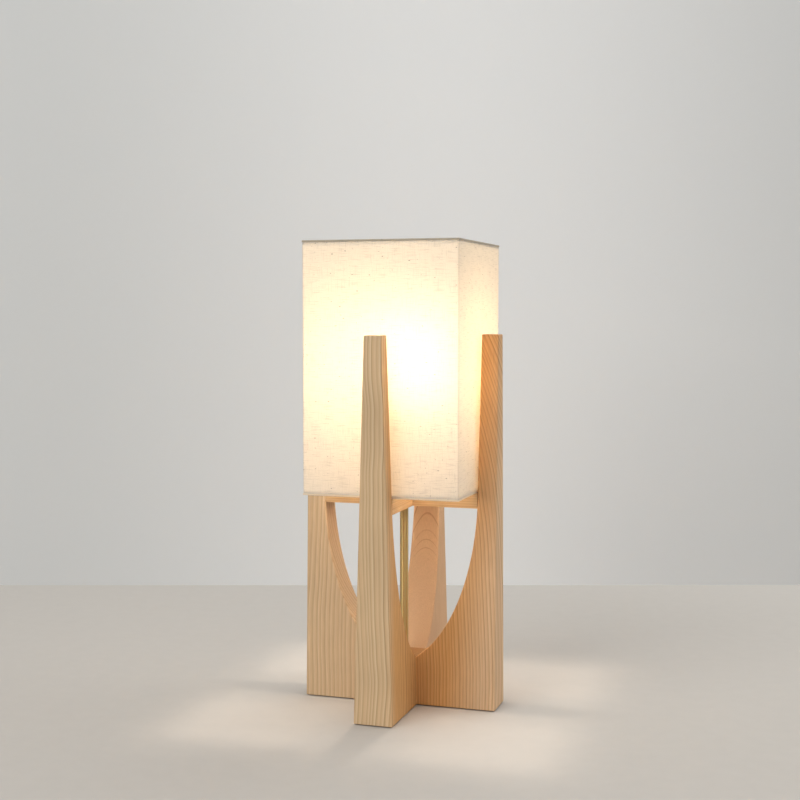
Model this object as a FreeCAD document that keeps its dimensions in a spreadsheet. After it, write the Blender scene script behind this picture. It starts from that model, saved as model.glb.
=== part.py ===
# A low wooden floor lamp: four curved legs round a square hub cradle a square linen shade.
# Millimetres, +Z up. The origin is on the floor under the brass stem, +X to the right and -Y to the front.
import FreeCAD, Part
import math
import os
import re

import Sketcher

# Driving dimensions. Every other size below is worked out from these names.
SIZES = {
    # felt pads under the legs
    "pad_thick": 1.5,
    "pad_diameter": 24,
    "pad_inset": 18,
    # legs: reach from the stem to the outer face, thickness across, depth along the reach
    "leg_reach": 116,
    "leg_height": 434,
    "leg_foot_thick": 45,
    "leg_top_thick": 20,
    "leg_top_depth": 19.8,
    "leg_rail_depth": 22.6,
    "curve_centre_past": 11,
    "edge_break": 0.8,
    # hub block and the loose tenons in its four sides
    "hub_height": 57,
    "hub_tenon_length": 24,
    "hub_tenon_height": 22,
    "hub_tenon_thick": 8,
    "hub_tenon_floor": 27,
    "glue_gap": 0.1,
    # crossed rails under the shade
    "rail_floor": 234,
    "rail_thick": 18,
    "rail_width": 30.5,
    "rail_tenon_length": 12,
    "rail_tenon_width": 16,
    "rail_tenon_thick": 8,
    # wiring cavity under the hub, its cover and the cord's gland
    "cavity_diameter": 24,
    "cavity_height": 18,
    "cover_diameter": 38,
    "cover_thick": 2.5,
    "cover_gap": 0.15,
    "screw_diameter": 2.5,
    "screw_head_diameter": 4.5,
    "screw_head_height": 1.5,
    "screw_length": 12,
    "screw_gap": 0.1,
    "cord_hole_diameter": 9,
    "gland_flange_diameter": 15,
    "gland_flange_thick": 2,
    "gland_length": 14,
    "gland_bore": 6,
    # brass stem with its nuts and washers
    "stem_diameter": 10,
    "stem_wall": 1,
    "stem_gap": 0.1,
    "stem_tail": 2.5,
    "nut_across_flats": 14,
    "nut_thick": 4,
    "washer_diameter": 20,
    "washer_thick": 1.6,
    # lampholder
    "holder_floor": 296,
    "holder_diameter": 39,
    "holder_wall": 2,
    "holder_ledge": 3.5,
    "holder_boss_diameter": 16,
    "holder_boss_height": 6,
    "holder_boss_depth": 9,
    "holder_dome_height": 14,
    "holder_cup_height": 26,
    "holder_gap": 0.15,
    "core_thick": 10,
    "skirt_height": 31,
    "skirt_lip_thick": 2,
    "skirt_mouth_gap": 2.4,
    "shell_height": 22,
    "shell_wall": 0.6,
    "shell_flange_bore": 18,
    "thread_gap": 0.3,
    "contact_height": 2.5,
    "contact_diameter": 10,
    "contact_tip_diameter": 6,
    "contact_base_thick": 1,
    "terminal_diameter": 2.5,
    "terminal_depth": 6,
    "terminal_head_diameter": 4.5,
    "terminal_head_height": 2,
    "terminal_spacing": 18,
    # bulb
    "bulb_diameter": 60,
    "bulb_length": 108,
    "bulb_flare_angle": 22,
    "glass_thick": 1,
    "glass_gap": 0.1,
    "cap_diameter": 26.2,
    "cap_height": 22,
    "cap_wall": 0.4,
    "cap_flange_bore": 18,
    "glass_neck_depth": 8,
    "button_diameter": 9.2,
    "button_height": 2,
    "insulator_thick": 3.5,
    "insulator_tip_diameter": 11,
    "insulator_rim_inset": 1.5,
    "mount_plate_thick": 1.5,
    "mount_rod_diameter": 4,
    "filament_diameter": 2,
    "filament_length": 36,
    "filament_circle": 18,
    "filament_plate_diameter": 22,
    "filament_plate_thick": 1.5,
    # shade, which stands on the rails with a gap to each leg
    "shade_gap": 1.4,
    "shade_height": 288,
    "shade_corner": 4,
    "linen_thick": 0.5,
    "liner_thick": 0.5,
    "hem_height": 6,
    "hem_thick": 0.5,
    "hem_gap": 0.3,
    "wire_diameter": 2.5,
    "wire_gap": 0.05,
}

SIDES = {"right": 0, "back": 90, "left": 180, "front": 270}  # turn of each leg about the stem, degrees

doc = FreeCAD.newDocument("wooden_floor_lamp")
sheet = doc.addObject("Spreadsheet::Sheet", "Sizes")
for row, (alias, size) in enumerate(SIZES.items(), start=1):
    sheet.set(f"A{row}", alias)
    sheet.set(f"B{row}", str(size))
    sheet.setAlias(f"B{row}", alias)
doc.recompute()

parts = []  # the finished sub-parts, in the order they are made


# Ties between objects and the sheet

def tied(formula):
    """Return the formula with each size's name written as a cell of the sheet."""
    return re.sub(r"[a-z]\w*", lambda word: f"Sizes.{word[0]}" if word[0] in SIZES else word[0], formula)


def number(formula):
    """Return the formula's value with the sheet's present sizes."""
    return float(sheet.evalExpression(formula))


def bind(thing, **formulas):
    """Tie properties to formulas; a double underscore stands for a dot in the property's path."""
    for path, formula in formulas.items():
        thing.setExpression(path.replace("__", "."), tied(formula))


def place(thing, x="0", y="0", z="0"):
    """Tie the position of an object's placement to three formulas."""
    bind(thing, Placement__Base__x=x, Placement__Base__y=y, Placement__Base__z=z)


def keep(thing, label):
    """List an object as a finished sub-part under its label."""
    thing.Label = label
    parts.append(thing)
    return thing


# Bodies, sketches and features

def new_body(name):
    return doc.addObject("PartDesign::Body", name)


def new_sketch(body, role, lift="0"):
    """Add a sketch on one of the body's origin planes, lifted along that plane's normal."""
    plane = next(feature for feature in body.Origin.OriginFeatures if feature.Role == role)
    sketch = body.newObject("Sketcher::SketchObject", f"{body.Name}_sketch")
    sketch.AttachmentSupport = [(plane, "")]
    sketch.MapMode = "FlatFace"
    bind(sketch, AttachmentOffset__Base__z=lift)
    return sketch


def fix_point(sketch, geometry, end, x, y):
    """Hold one point of a sketch at formulas for its two coordinates."""
    for kind, formula, axis in (("DistanceX", x, -2), ("DistanceY", y, -1)):
        if formula == "0":
            sketch.addConstraint(Sketcher.Constraint("PointOnObject", geometry, end, axis))
        else:
            rule = Sketcher.Constraint(kind, -1, 1, geometry, end, number(formula))
            sketch.setExpression(f"Constraints[{sketch.addConstraint(rule)}]", tied(formula))


def arc_between(start, end, radius):
    """Return the shorter arc of a radius that runs anticlockwise from start to end."""
    chord = end - start
    rise = math.sqrt(max(radius**2 - chord.Length**2 / 4, 0))
    left = FreeCAD.Vector(-chord.y, chord.x, 0).normalize()
    centre = (start + end) * 0.5 + left * rise
    angles = [math.atan2(point.y - centre.y, point.x - centre.x) for point in (start, end)]
    return Part.ArcOfCircle(Part.Circle(centre, FreeCAD.Vector(0, 0, 1), radius), *angles)


def draw_outline(sketch, corners, arcs=None):
    """Draw a closed outline through corners given as pairs of formulas.

    arcs maps the number of a side to (radius formula, True if the side runs anticlockwise).
    """
    points = [FreeCAD.Vector(number(x), number(y), 0) for x, y in corners]
    ends = []
    for side, start in enumerate(points):
        end = points[(side + 1) % len(points)]
        radius, anticlockwise = (arcs or {}).get(side, (None, True))
        if radius is None:
            ends.append((sketch.addGeometry(Part.LineSegment(start, end)), 1, 2))
        elif anticlockwise:
            ends.append((sketch.addGeometry(arc_between(start, end, number(radius))), 1, 2))
        else:
            ends.append((sketch.addGeometry(arc_between(end, start, number(radius))), 2, 1))
    for side, (geometry, first, last) in enumerate(ends):
        following, following_first, _ = ends[(side + 1) % len(ends)]
        sketch.addConstraint(Sketcher.Constraint("Coincident", geometry, last, following, following_first))
        fix_point(sketch, geometry, first, *corners[side])
    for side, (radius, _) in (arcs or {}).items():
        rule = Sketcher.Constraint("Radius", ends[side][0], number(radius))
        sketch.setExpression(f"Constraints[{sketch.addConstraint(rule)}]", tied(radius))
    return ends


def draw_rectangle(sketch, x_from, x_to, y_from, y_to):
    draw_outline(sketch, [(x_from, y_from), (x_to, y_from), (x_to, y_to), (x_from, y_to)])


def draw_square(sketch, half):
    draw_rectangle(sketch, f"-({half})", half, f"-({half})", half)


def draw_rounded_square(sketch, half, radius):
    """Draw a square about the origin with rounded corners, from the middle of its right side."""
    flat = f"({half} - ({radius}))"
    corners = [
        (half, "0"),
        (half, flat), (flat, half),
        (f"-{flat}", half), (f"-({half})", flat),
        (f"-({half})", f"-{flat}"), (f"-{flat}", f"-({half})"),
        (flat, f"-({half})"), (half, f"-{flat}"),
    ]
    draw_outline(sketch, corners, {corner: (radius, True) for corner in (1, 3, 5, 7)})


def draw_circle(sketch, x, y, diameter):
    centre = FreeCAD.Vector(number(x), number(y), 0)
    circle = Part.Circle(centre, FreeCAD.Vector(0, 0, 1), number(f"({diameter}) / 2"))
    geometry = sketch.addGeometry(circle)
    fix_point(sketch, geometry, 3, x, y)
    rule = Sketcher.Constraint("Diameter", geometry, number(diameter))
    sketch.setExpression(f"Constraints[{sketch.addConstraint(rule)}]", tied(diameter))


def pad(body, sketch, length, symmetric=False):
    feature = body.newObject("PartDesign::Pad", f"{body.Name}_pad")
    feature.Profile = sketch
    feature.SideType = "Symmetric" if symmetric else "One side"
    bind(feature, Length=length)
    doc.recompute()
    return feature


def pocket(body, sketch, length, symmetric=False, reverse=False):
    """Cut a sketch into its body and stop if nothing was removed."""
    before = body.Shape.Volume
    feature = body.newObject("PartDesign::Pocket", f"{body.Name}_pocket")
    feature.Profile = sketch
    feature.SideType = "Symmetric" if symmetric else "One side"
    feature.Reversed = reverse
    bind(feature, Length=length)
    doc.recompute()
    if body.Shape.Volume >= before:
        raise RuntimeError(f"{feature.Name} removes nothing")
    return feature


def revolve(label, corners, arcs=None):
    """Make a turned sub-part about Z from half of its section: (radius, height) formulas."""
    body = new_body(label)
    sketch = new_sketch(body, "XZ_Plane")
    draw_outline(sketch, corners, arcs)
    feature = body.newObject("PartDesign::Revolution", f"{label}_revolution")
    feature.Profile = sketch
    feature.ReferenceAxis = (sketch, ["V_Axis"])
    feature.Angle = 360
    doc.recompute()
    return keep(body, label)


def cylinder(name, diameter, height, x="0", y="0", z="0"):
    solid = doc.addObject("Part::Cylinder", name)
    bind(solid, Radius=f"({diameter}) / 2", Height=height)
    place(solid, x, y, z)
    return solid


def cut(label, base, tool):
    """Cut one solid from another and list the result as a sub-part."""
    result = doc.addObject("Part::Cut", label)
    result.Base = base
    result.Tool = tool
    return keep(result, label)


def ring(label, outer, inner, height, z):
    """Make a plain ring about the stem."""
    return cut(label, cylinder(f"{label}_disc", outer, height, z=z), cylinder(f"{label}_hole", inner, height, z=z))


def group(label, solids):
    """List several like solids as one sub-part."""
    result = doc.addObject("Part::Compound", label)
    result.Links = solids
    return keep(result, label)


# Lines that several pieces share

def half_thick(height):
    """Half of a leg's thickness at a height: the legs taper evenly from foot to top."""
    taper = "(leg_foot_thick - leg_top_thick) / 2"
    return f"(leg_foot_thick / 2 - {taper} * ({height} - pad_thick) / (leg_height - pad_thick))"


RAIL_TOP = "(rail_floor + rail_thick)"
RAIL_MIDDLE = "(rail_floor + rail_thick / 2)"
HUB_TOP_HALF = half_thick("hub_height")
INNER_RAIL = "(leg_reach - leg_rail_depth)"
INNER_TOP = "(leg_reach - leg_top_depth)"
# The legs' inner curve is a quarter of an ellipse from the top of the rails to the top of the hub.
CURVE_ACROSS = f"({INNER_RAIL} + curve_centre_past)"
CURVE_CORNER = f"(({HUB_TOP_HALF} + curve_centre_past) / {CURVE_ACROSS})"
CURVE_DOWN = f"(({RAIL_TOP} - hub_height) / sqrt(1 - {CURVE_CORNER} ^ 2))"
RAIL_HALF = f"({CURVE_ACROSS} * sqrt(1 - (rail_thick / {CURVE_DOWN}) ^ 2) - curve_centre_past)"
TENON_MIDDLE = half_thick("(hub_tenon_floor + hub_tenon_height / 2)")
STEM_HOLE = "(stem_diameter + 2 * stem_gap)"
STEM_BORE = "(stem_diameter - 2 * stem_wall)"
CAVITY_TOP = "(pad_thick + cavity_height)"
COVER_TOP = "(pad_thick + cover_thick)"
CORD_HEIGHT = f"(({CAVITY_TOP} + {COVER_TOP}) / 2)"
COVER_SCREW_REACH = "((cavity_diameter + cover_diameter) / 4)"


# Hub block and loose tenons

def make_hub():
    """The square block that the legs stand round, bored for the stem and hollowed for the wiring."""
    body = new_body("hub_block")
    foot = new_sketch(body, "XY_Plane", "pad_thick")
    draw_square(foot, "(leg_foot_thick / 2)")
    top = new_sketch(body, "XY_Plane", "hub_height")
    draw_square(top, HUB_TOP_HALF)
    loft = body.newObject("PartDesign::AdditiveLoft", "hub_loft")
    loft.Profile = foot
    loft.Sections = [top]
    loft.Ruled = True
    doc.recompute()

    for diameter, depth in (
        (STEM_HOLE, "hub_height"),
        ("cavity_diameter", "cavity_height"),
        ("(cover_diameter + 2 * cover_gap)", "cover_thick"),
    ):
        bore = new_sketch(body, "XY_Plane", "pad_thick")
        draw_circle(bore, "0", "0", diameter)
        pocket(body, bore, depth, reverse=True)

    pilots = new_sketch(body, "XY_Plane", "pad_thick")
    for side in ("", "-"):
        draw_circle(pilots, f"{side}{COVER_SCREW_REACH}", "0", "(screw_diameter + 2 * screw_gap)")
    pocket(body, pilots, "(screw_length + screw_gap)", reverse=True)

    cord_hole = new_sketch(body, "XZ_Plane")
    draw_circle(cord_hole, "0", CORD_HEIGHT, "cord_hole_diameter")
    pocket(body, cord_hole, "leg_foot_thick")

    inner = f"({TENON_MIDDLE} - hub_tenon_length / 2 - glue_gap)"
    for role in ("XZ_Plane", "YZ_Plane"):
        mortises = new_sketch(body, role)
        for near, far in ((inner, "leg_foot_thick"), ("-leg_foot_thick", f"-{inner}")):
            draw_rectangle(
                mortises, near, far,
                "(hub_tenon_floor - glue_gap)", "(hub_tenon_floor + hub_tenon_height + glue_gap)",
            )
        pocket(body, mortises, "(hub_tenon_thick + 2 * glue_gap)", symmetric=True)
    keep(body, "hub_block")


def make_hub_tenon(side, turn):
    """The loose tenon that joins one leg to the hub."""
    body = new_body(f"hub_tenon_{side}")
    outline = new_sketch(body, "XZ_Plane")
    draw_rectangle(
        outline,
        f"({TENON_MIDDLE} - hub_tenon_length / 2)", f"({TENON_MIDDLE} + hub_tenon_length / 2)",
        "hub_tenon_floor", "(hub_tenon_floor + hub_tenon_height)",
    )
    pad(body, outline, "hub_tenon_thick", symmetric=True)
    body.Placement.Rotation = FreeCAD.Rotation(FreeCAD.Vector(0, 0, 1), turn)
    keep(body, f"hub_tenon_{side}")


# Legs, with a felt pad under each

def draw_leg_profile(sketch):
    """Draw a leg seen from its side: straight outer edge, elliptical inner edge down to the hub."""
    corners = [
        (HUB_TOP_HALF, "hub_height"),
        ("(leg_foot_thick / 2)", "pad_thick"),
        ("leg_reach", "pad_thick"),
        ("leg_reach", "leg_height"),
        (INNER_TOP, "leg_height"),
        (INNER_RAIL, RAIL_TOP),
    ]
    points = [FreeCAD.Vector(number(x), number(z), 0) for x, z in corners]
    lines = [
        sketch.addGeometry(Part.LineSegment(start, end)) for start, end in zip(points, points[1:])
    ]
    across = number(CURVE_ACROSS)
    centre = FreeCAD.Vector(-number("curve_centre_past"), number(RAIL_TOP), 0)
    ellipse = Part.Ellipse(
        centre + FreeCAD.Vector(0, number(CURVE_DOWN), 0), centre - FreeCAD.Vector(across, 0, 0), centre
    )
    hub_turn = math.pi + math.asin(number(CURVE_CORNER))
    curve = sketch.addGeometry(Part.ArcOfEllipse(ellipse, hub_turn, 1.5 * math.pi))
    sketch.exposeInternalGeometry(curve)
    long_axis = curve + 1
    for line, corner in zip(lines, corners):
        fix_point(sketch, line, 1, *corner)
    fix_point(sketch, lines[-1], 2, *corners[-1])
    for line, following in zip(lines, lines[1:]):
        sketch.addConstraint(Sketcher.Constraint("Coincident", line, 2, following, 1))
    sketch.addConstraint(Sketcher.Constraint("Coincident", curve, 1, lines[0], 1))
    sketch.addConstraint(Sketcher.Constraint("Coincident", curve, 2, lines[-1], 2))
    sketch.addConstraint(Sketcher.Constraint("Vertical", long_axis))
    fix_point(sketch, curve, 3, "-curve_centre_past", RAIL_TOP)


def break_edges(body):
    """Chamfer the leg's long edges and its top, but not its foot or its face against the hub."""
    on_side = number("edge_break") / 100
    chosen = []
    for count, edge in enumerate(body.Shape.Edges, start=1):
        ends = [vertex.Point for vertex in edge.Vertexes]
        sides = [number(half_thick(f"{end.z:.6f}")) for end in ends]
        bare = all(abs(abs(end.y) - half) < on_side for end, half in zip(ends, sides))
        at_foot = all(abs(end.z - number("pad_thick")) < on_side for end in ends)
        at_hub = all(abs(end.x - half) < on_side for end, half in zip(ends, sides))
        if bare and not at_foot and not at_hub:
            chosen.append(f"Edge{count}")
    tapered = body.Tip
    chamfer = body.newObject("PartDesign::Chamfer", f"{body.Name}_edges")
    chamfer.Base = (tapered, chosen)
    bind(chamfer, Size="edge_break")
    doc.recompute()


def make_leg(side, turn):
    """One leg, with its mortises; the back leg also carries the cord's hole."""
    body = new_body(f"leg_{side}")
    profile = new_sketch(body, "XZ_Plane")
    draw_leg_profile(profile)
    pad(body, profile, "leg_foot_thick", symmetric=True)

    taper = new_sketch(body, "YZ_Plane")
    beyond = "leg_foot_thick"
    for sign in ("", "-"):
        draw_outline(taper, [
            (f"{sign}leg_foot_thick / 2", "pad_thick"),
            (f"{sign}{beyond}", "pad_thick"),
            (f"{sign}{beyond}", "leg_height"),
            (f"{sign}leg_top_thick / 2", "leg_height"),
        ])
    pocket(body, taper, "leg_reach", reverse=True)
    break_edges(body)

    hub_mortise = new_sketch(body, "XZ_Plane")
    draw_rectangle(
        hub_mortise, "0", f"({TENON_MIDDLE} + hub_tenon_length / 2 + glue_gap)",
        "(hub_tenon_floor - glue_gap)", "(hub_tenon_floor + hub_tenon_height + glue_gap)",
    )
    pocket(body, hub_mortise, "(hub_tenon_thick + 2 * glue_gap)", symmetric=True)

    rail_mortise = new_sketch(body, "XZ_Plane")
    draw_rectangle(
        rail_mortise, "0", f"({RAIL_HALF} + rail_tenon_length + glue_gap)",
        f"({RAIL_MIDDLE} - rail_tenon_thick / 2 - glue_gap)", f"({RAIL_MIDDLE} + rail_tenon_thick / 2 + glue_gap)",
    )
    pocket(body, rail_mortise, "(rail_tenon_width + 2 * glue_gap)", symmetric=True)

    if side == "back":
        cord_hole = new_sketch(body, "YZ_Plane")
        draw_circle(cord_hole, "0", CORD_HEIGHT, "cord_hole_diameter")
        pocket(body, cord_hole, "leg_reach", reverse=True)
        flange_seat = new_sketch(body, "YZ_Plane", "(leg_reach - gland_flange_thick)")
        draw_circle(flange_seat, "0", CORD_HEIGHT, "(gland_flange_diameter + 2 * glue_gap)")
        pocket(body, flange_seat, "gland_flange_thick", reverse=True)
    body.Placement.Rotation = FreeCAD.Rotation(FreeCAD.Vector(0, 0, 1), turn)
    keep(body, f"leg_{side}")


def make_foot_pad(side, turn):
    """A felt pad under the outer end of a leg."""
    reach = "(leg_reach - pad_inset)"
    across = {0: (reach, "0"), 90: ("0", reach), 180: (f"-{reach}", "0"), 270: ("0", f"-{reach}")}
    x, y = across[turn]
    keep(cylinder(f"foot_pad_{side}", "pad_diameter", "pad_thick", x, y), f"foot_pad_{side}")


# Rails

def make_rail(label, turn, notch_from, notch_to):
    """A rail between two opposite legs, halved at the middle where it crosses the other."""
    body = new_body(label)
    bar = new_sketch(body, "XZ_Plane")
    draw_rectangle(bar, f"-{RAIL_HALF}", RAIL_HALF, "rail_floor", RAIL_TOP)
    pad(body, bar, "rail_width", symmetric=True)
    tenons = new_sketch(body, "XZ_Plane")
    tip = f"({RAIL_HALF} + rail_tenon_length)"
    draw_rectangle(
        tenons, f"-{tip}", tip,
        f"({RAIL_MIDDLE} - rail_tenon_thick / 2)", f"({RAIL_MIDDLE} + rail_tenon_thick / 2)",
    )
    pad(body, tenons, "rail_tenon_width", symmetric=True)
    notch = new_sketch(body, "XZ_Plane")
    lap = "(rail_width / 2 + glue_gap)"
    draw_rectangle(notch, f"-{lap}", lap, notch_from, notch_to)
    pocket(body, notch, "(rail_width + 2 * glue_gap)", symmetric=True)
    hole = new_sketch(body, "XY_Plane", "rail_floor")
    draw_circle(hole, "0", "0", STEM_HOLE)
    pocket(body, hole, "rail_thick", reverse=True)
    body.Placement.Rotation = FreeCAD.Rotation(FreeCAD.Vector(0, 0, 1), turn)
    keep(body, label)


# Stem, nuts, wiring cover and gland

def make_nut(label, z):
    """A six-sided nut on the stem."""
    prism = doc.addObject("Part::Prism", f"{label}_prism")
    prism.Polygon = 6
    bind(prism, Circumradius="nut_across_flats / 2 / cos(30)", Height="nut_thick")
    place(prism, z=z)
    cut(label, prism, cylinder(f"{label}_hole", STEM_HOLE, "nut_thick", z=z))


def make_stem():
    """The brass tube, clamped to the hub from below and to the rails from above."""
    foot_nut = f"({CAVITY_TOP} - washer_thick - nut_thick)"
    stem_floor = f"({foot_nut} - stem_tail)"
    ring("stem_tube", "stem_diameter", STEM_BORE, f"(holder_floor + holder_boss_depth - {stem_floor})", stem_floor)
    ring("stem_foot_washer", "washer_diameter", STEM_HOLE, "washer_thick", f"({CAVITY_TOP} - washer_thick)")
    make_nut("stem_foot_nut", foot_nut)
    ring("rail_washer", "washer_diameter", STEM_HOLE, "washer_thick", RAIL_TOP)
    make_nut("rail_nut", f"({RAIL_TOP} + washer_thick)")
    make_nut("holder_lock_nut", "(holder_floor - nut_thick)")


def cover_screw(name, x, gap):
    """A countersunk screw on X, or with a gap the room it needs."""
    head = doc.addObject("Part::Cone", f"{name}_head")
    bind(
        head,
        Radius1=f"screw_head_diameter / 2 + {gap}",
        Radius2=f"screw_diameter / 2 + {gap}",
        Height="screw_head_height",
    )
    place(head, x, z="pad_thick")
    shank = cylinder(
        f"{name}_shank", f"screw_diameter + 2 * {gap}", "screw_length - screw_head_height",
        x, z="pad_thick + screw_head_height",
    )
    screw = doc.addObject("Part::Fuse", name)
    screw.Base = head
    screw.Tool = shank
    return screw


def make_base_cover():
    """The disc that closes the wiring cavity under the hub, and its two screws."""
    reaches = {"right": COVER_SCREW_REACH, "left": f"-{COVER_SCREW_REACH}"}
    room = doc.addObject("Part::Compound", "cover_screw_room")
    room.Links = [cover_screw(f"cover_screw_room_{side}", x, "screw_gap") for side, x in reaches.items()]
    cut("base_cover", cylinder("base_cover_disc", "cover_diameter", "cover_thick", z="pad_thick"), room)
    group("base_cover_screws", [cover_screw(f"cover_screw_{side}", x, "0") for side, x in reaches.items()])


def make_cord_gland():
    """The bush in the back leg that the cord enters by, its flange flush with the leg."""
    body = revolve("cord_gland", [
        ("gland_bore / 2", "0"),
        ("gland_flange_diameter / 2", "0"),
        ("gland_flange_diameter / 2", "-gland_flange_thick"),
        ("cord_hole_diameter / 2 - glue_gap", "-gland_flange_thick"),
        ("cord_hole_diameter / 2 - glue_gap", "-gland_length"),
        ("gland_bore / 2", "-gland_length"),
    ])
    to_the_back = FreeCAD.Rotation(FreeCAD.Vector(1, 0, 0), -90)
    body.Placement = FreeCAD.Placement(FreeCAD.Vector(), to_the_back)
    place(body, y="leg_reach", z=CORD_HEIGHT)


# Lampholder

HOLDER_RADIUS = "(holder_diameter / 2)"
CUP_BORE = f"({HOLDER_RADIUS} - holder_wall)"
BOSS_RADIUS = "(holder_boss_diameter / 2)"
LEDGE_RADIUS = f"({CUP_BORE} - holder_ledge)"
CUP_RIM = "(holder_floor + holder_cup_height)"
CORE_FLOOR = f"({CUP_RIM} - core_thick)"
SHELL_BORE = "(cap_diameter / 2 + thread_gap)"
DOME_SLOPE = f"((holder_dome_height - holder_boss_height) / ({HOLDER_RADIUS} - {BOSS_RADIUS}))"
DOME_AT_LEDGE = f"(holder_boss_height + {DOME_SLOPE} * ({LEDGE_RADIUS} - {BOSS_RADIUS}))"


def make_lampholder():
    """Cap on the stem, insulating core with its screw shell and contact, and the skirt round them."""
    revolve("lampholder_cap", [
        (f"{STEM_HOLE} / 2", "holder_floor"),
        (BOSS_RADIUS, "holder_floor"),
        (BOSS_RADIUS, "holder_floor + holder_boss_height"),
        (HOLDER_RADIUS, "holder_floor + holder_dome_height"),
        (HOLDER_RADIUS, CUP_RIM),
        (CUP_BORE, CUP_RIM),
        (CUP_BORE, CORE_FLOOR),
        (LEDGE_RADIUS, CORE_FLOOR),
        (LEDGE_RADIUS, f"holder_floor + {DOME_AT_LEDGE} + holder_wall"),
        (BOSS_RADIUS, "holder_floor + holder_boss_depth"),
        (f"{STEM_HOLE} / 2", "holder_floor + holder_boss_depth"),
    ])

    core = new_body("lampholder_core")
    disc = new_sketch(core, "XY_Plane", CORE_FLOOR)
    draw_circle(disc, "0", "0", f"2 * ({CUP_BORE} - holder_gap)")
    pad(core, disc, "core_thick")
    screw_holes = new_sketch(core, "XY_Plane", CORE_FLOOR)
    for side in ("", "-"):
        draw_circle(screw_holes, f"{side}terminal_spacing / 2", "0", "terminal_diameter + 2 * screw_gap")
    pocket(core, screw_holes, "terminal_depth + screw_gap", reverse=True)
    keep(core, "lampholder_core")

    screws = []
    for side, sign in (("right", ""), ("left", "-")):
        x = f"{sign}terminal_spacing / 2"
        screw = doc.addObject("Part::Fuse", f"terminal_screw_{side}")
        screw.Base = cylinder(
            f"terminal_head_{side}", "terminal_head_diameter", "terminal_head_height",
            x, z=f"{CORE_FLOOR} - terminal_head_height",
        )
        screw.Tool = cylinder(
            f"terminal_shank_{side}", "terminal_diameter", "terminal_depth", x, z=CORE_FLOOR,
        )
        screws.append(screw)
    group("lampholder_terminal_screws", screws)

    revolve("lampholder_screw_shell", [
        ("shell_flange_bore / 2", CUP_RIM),
        (f"{SHELL_BORE} + shell_wall", CUP_RIM),
        (f"{SHELL_BORE} + shell_wall", f"{CUP_RIM} + shell_height"),
        (SHELL_BORE, f"{CUP_RIM} + shell_height"),
        (SHELL_BORE, f"{CUP_RIM} + shell_wall"),
        ("shell_flange_bore / 2", f"{CUP_RIM} + shell_wall"),
    ])
    revolve("lampholder_contact", [
        ("0", CUP_RIM),
        ("contact_diameter / 2", CUP_RIM),
        ("contact_diameter / 2", f"{CUP_RIM} + contact_base_thick"),
        ("contact_tip_diameter / 2", f"{CUP_RIM} + contact_base_thick"),
        ("contact_tip_diameter / 2", f"{CUP_RIM} + contact_height"),
        ("0", f"{CUP_RIM} + contact_height"),
    ])
    mouth = "(cap_diameter / 2 + skirt_mouth_gap)"
    revolve("lampholder_skirt", [
        (HOLDER_RADIUS, CUP_RIM),
        (HOLDER_RADIUS, f"{CUP_RIM} + skirt_height"),
        (mouth, f"{CUP_RIM} + skirt_height"),
        (mouth, f"{CUP_RIM} + skirt_height - skirt_lip_thick"),
        (CUP_BORE, f"{CUP_RIM} + skirt_height - skirt_lip_thick"),
        (CUP_BORE, CUP_RIM),
    ])


# Bulb

BULB_FLOOR = f"({CUP_RIM} + contact_height)"
BULB_CENTRE = f"({BULB_FLOOR} + bulb_length - bulb_diameter / 2)"
CAP_FLOOR = f"({BULB_FLOOR} + button_height + insulator_thick)"
CAP_TOP = f"({CAP_FLOOR} + cap_height)"
NECK_RADIUS = "(cap_diameter / 2 - cap_wall - glass_gap)"
NECK_FLOOR = f"({CAP_TOP} - glass_neck_depth)"
FILAMENT_FLOOR = f"({BULB_CENTRE} - filament_length / 2)"


def glass_side(inset):
    """The section of the bulb's glass from neck to crown, inset by the glass's thickness or 0."""
    radius = f"(bulb_diameter / 2 - {inset})"
    return [
        (f"{NECK_RADIUS} - {inset}", NECK_FLOOR),
        (f"{NECK_RADIUS} - {inset}", CAP_TOP),
        (f"{radius} * cos(bulb_flare_angle)", f"{BULB_CENTRE} - {radius} * sin(bulb_flare_angle)"),
        ("0", f"{BULB_CENTRE} + {radius}"),
    ], radius


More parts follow.
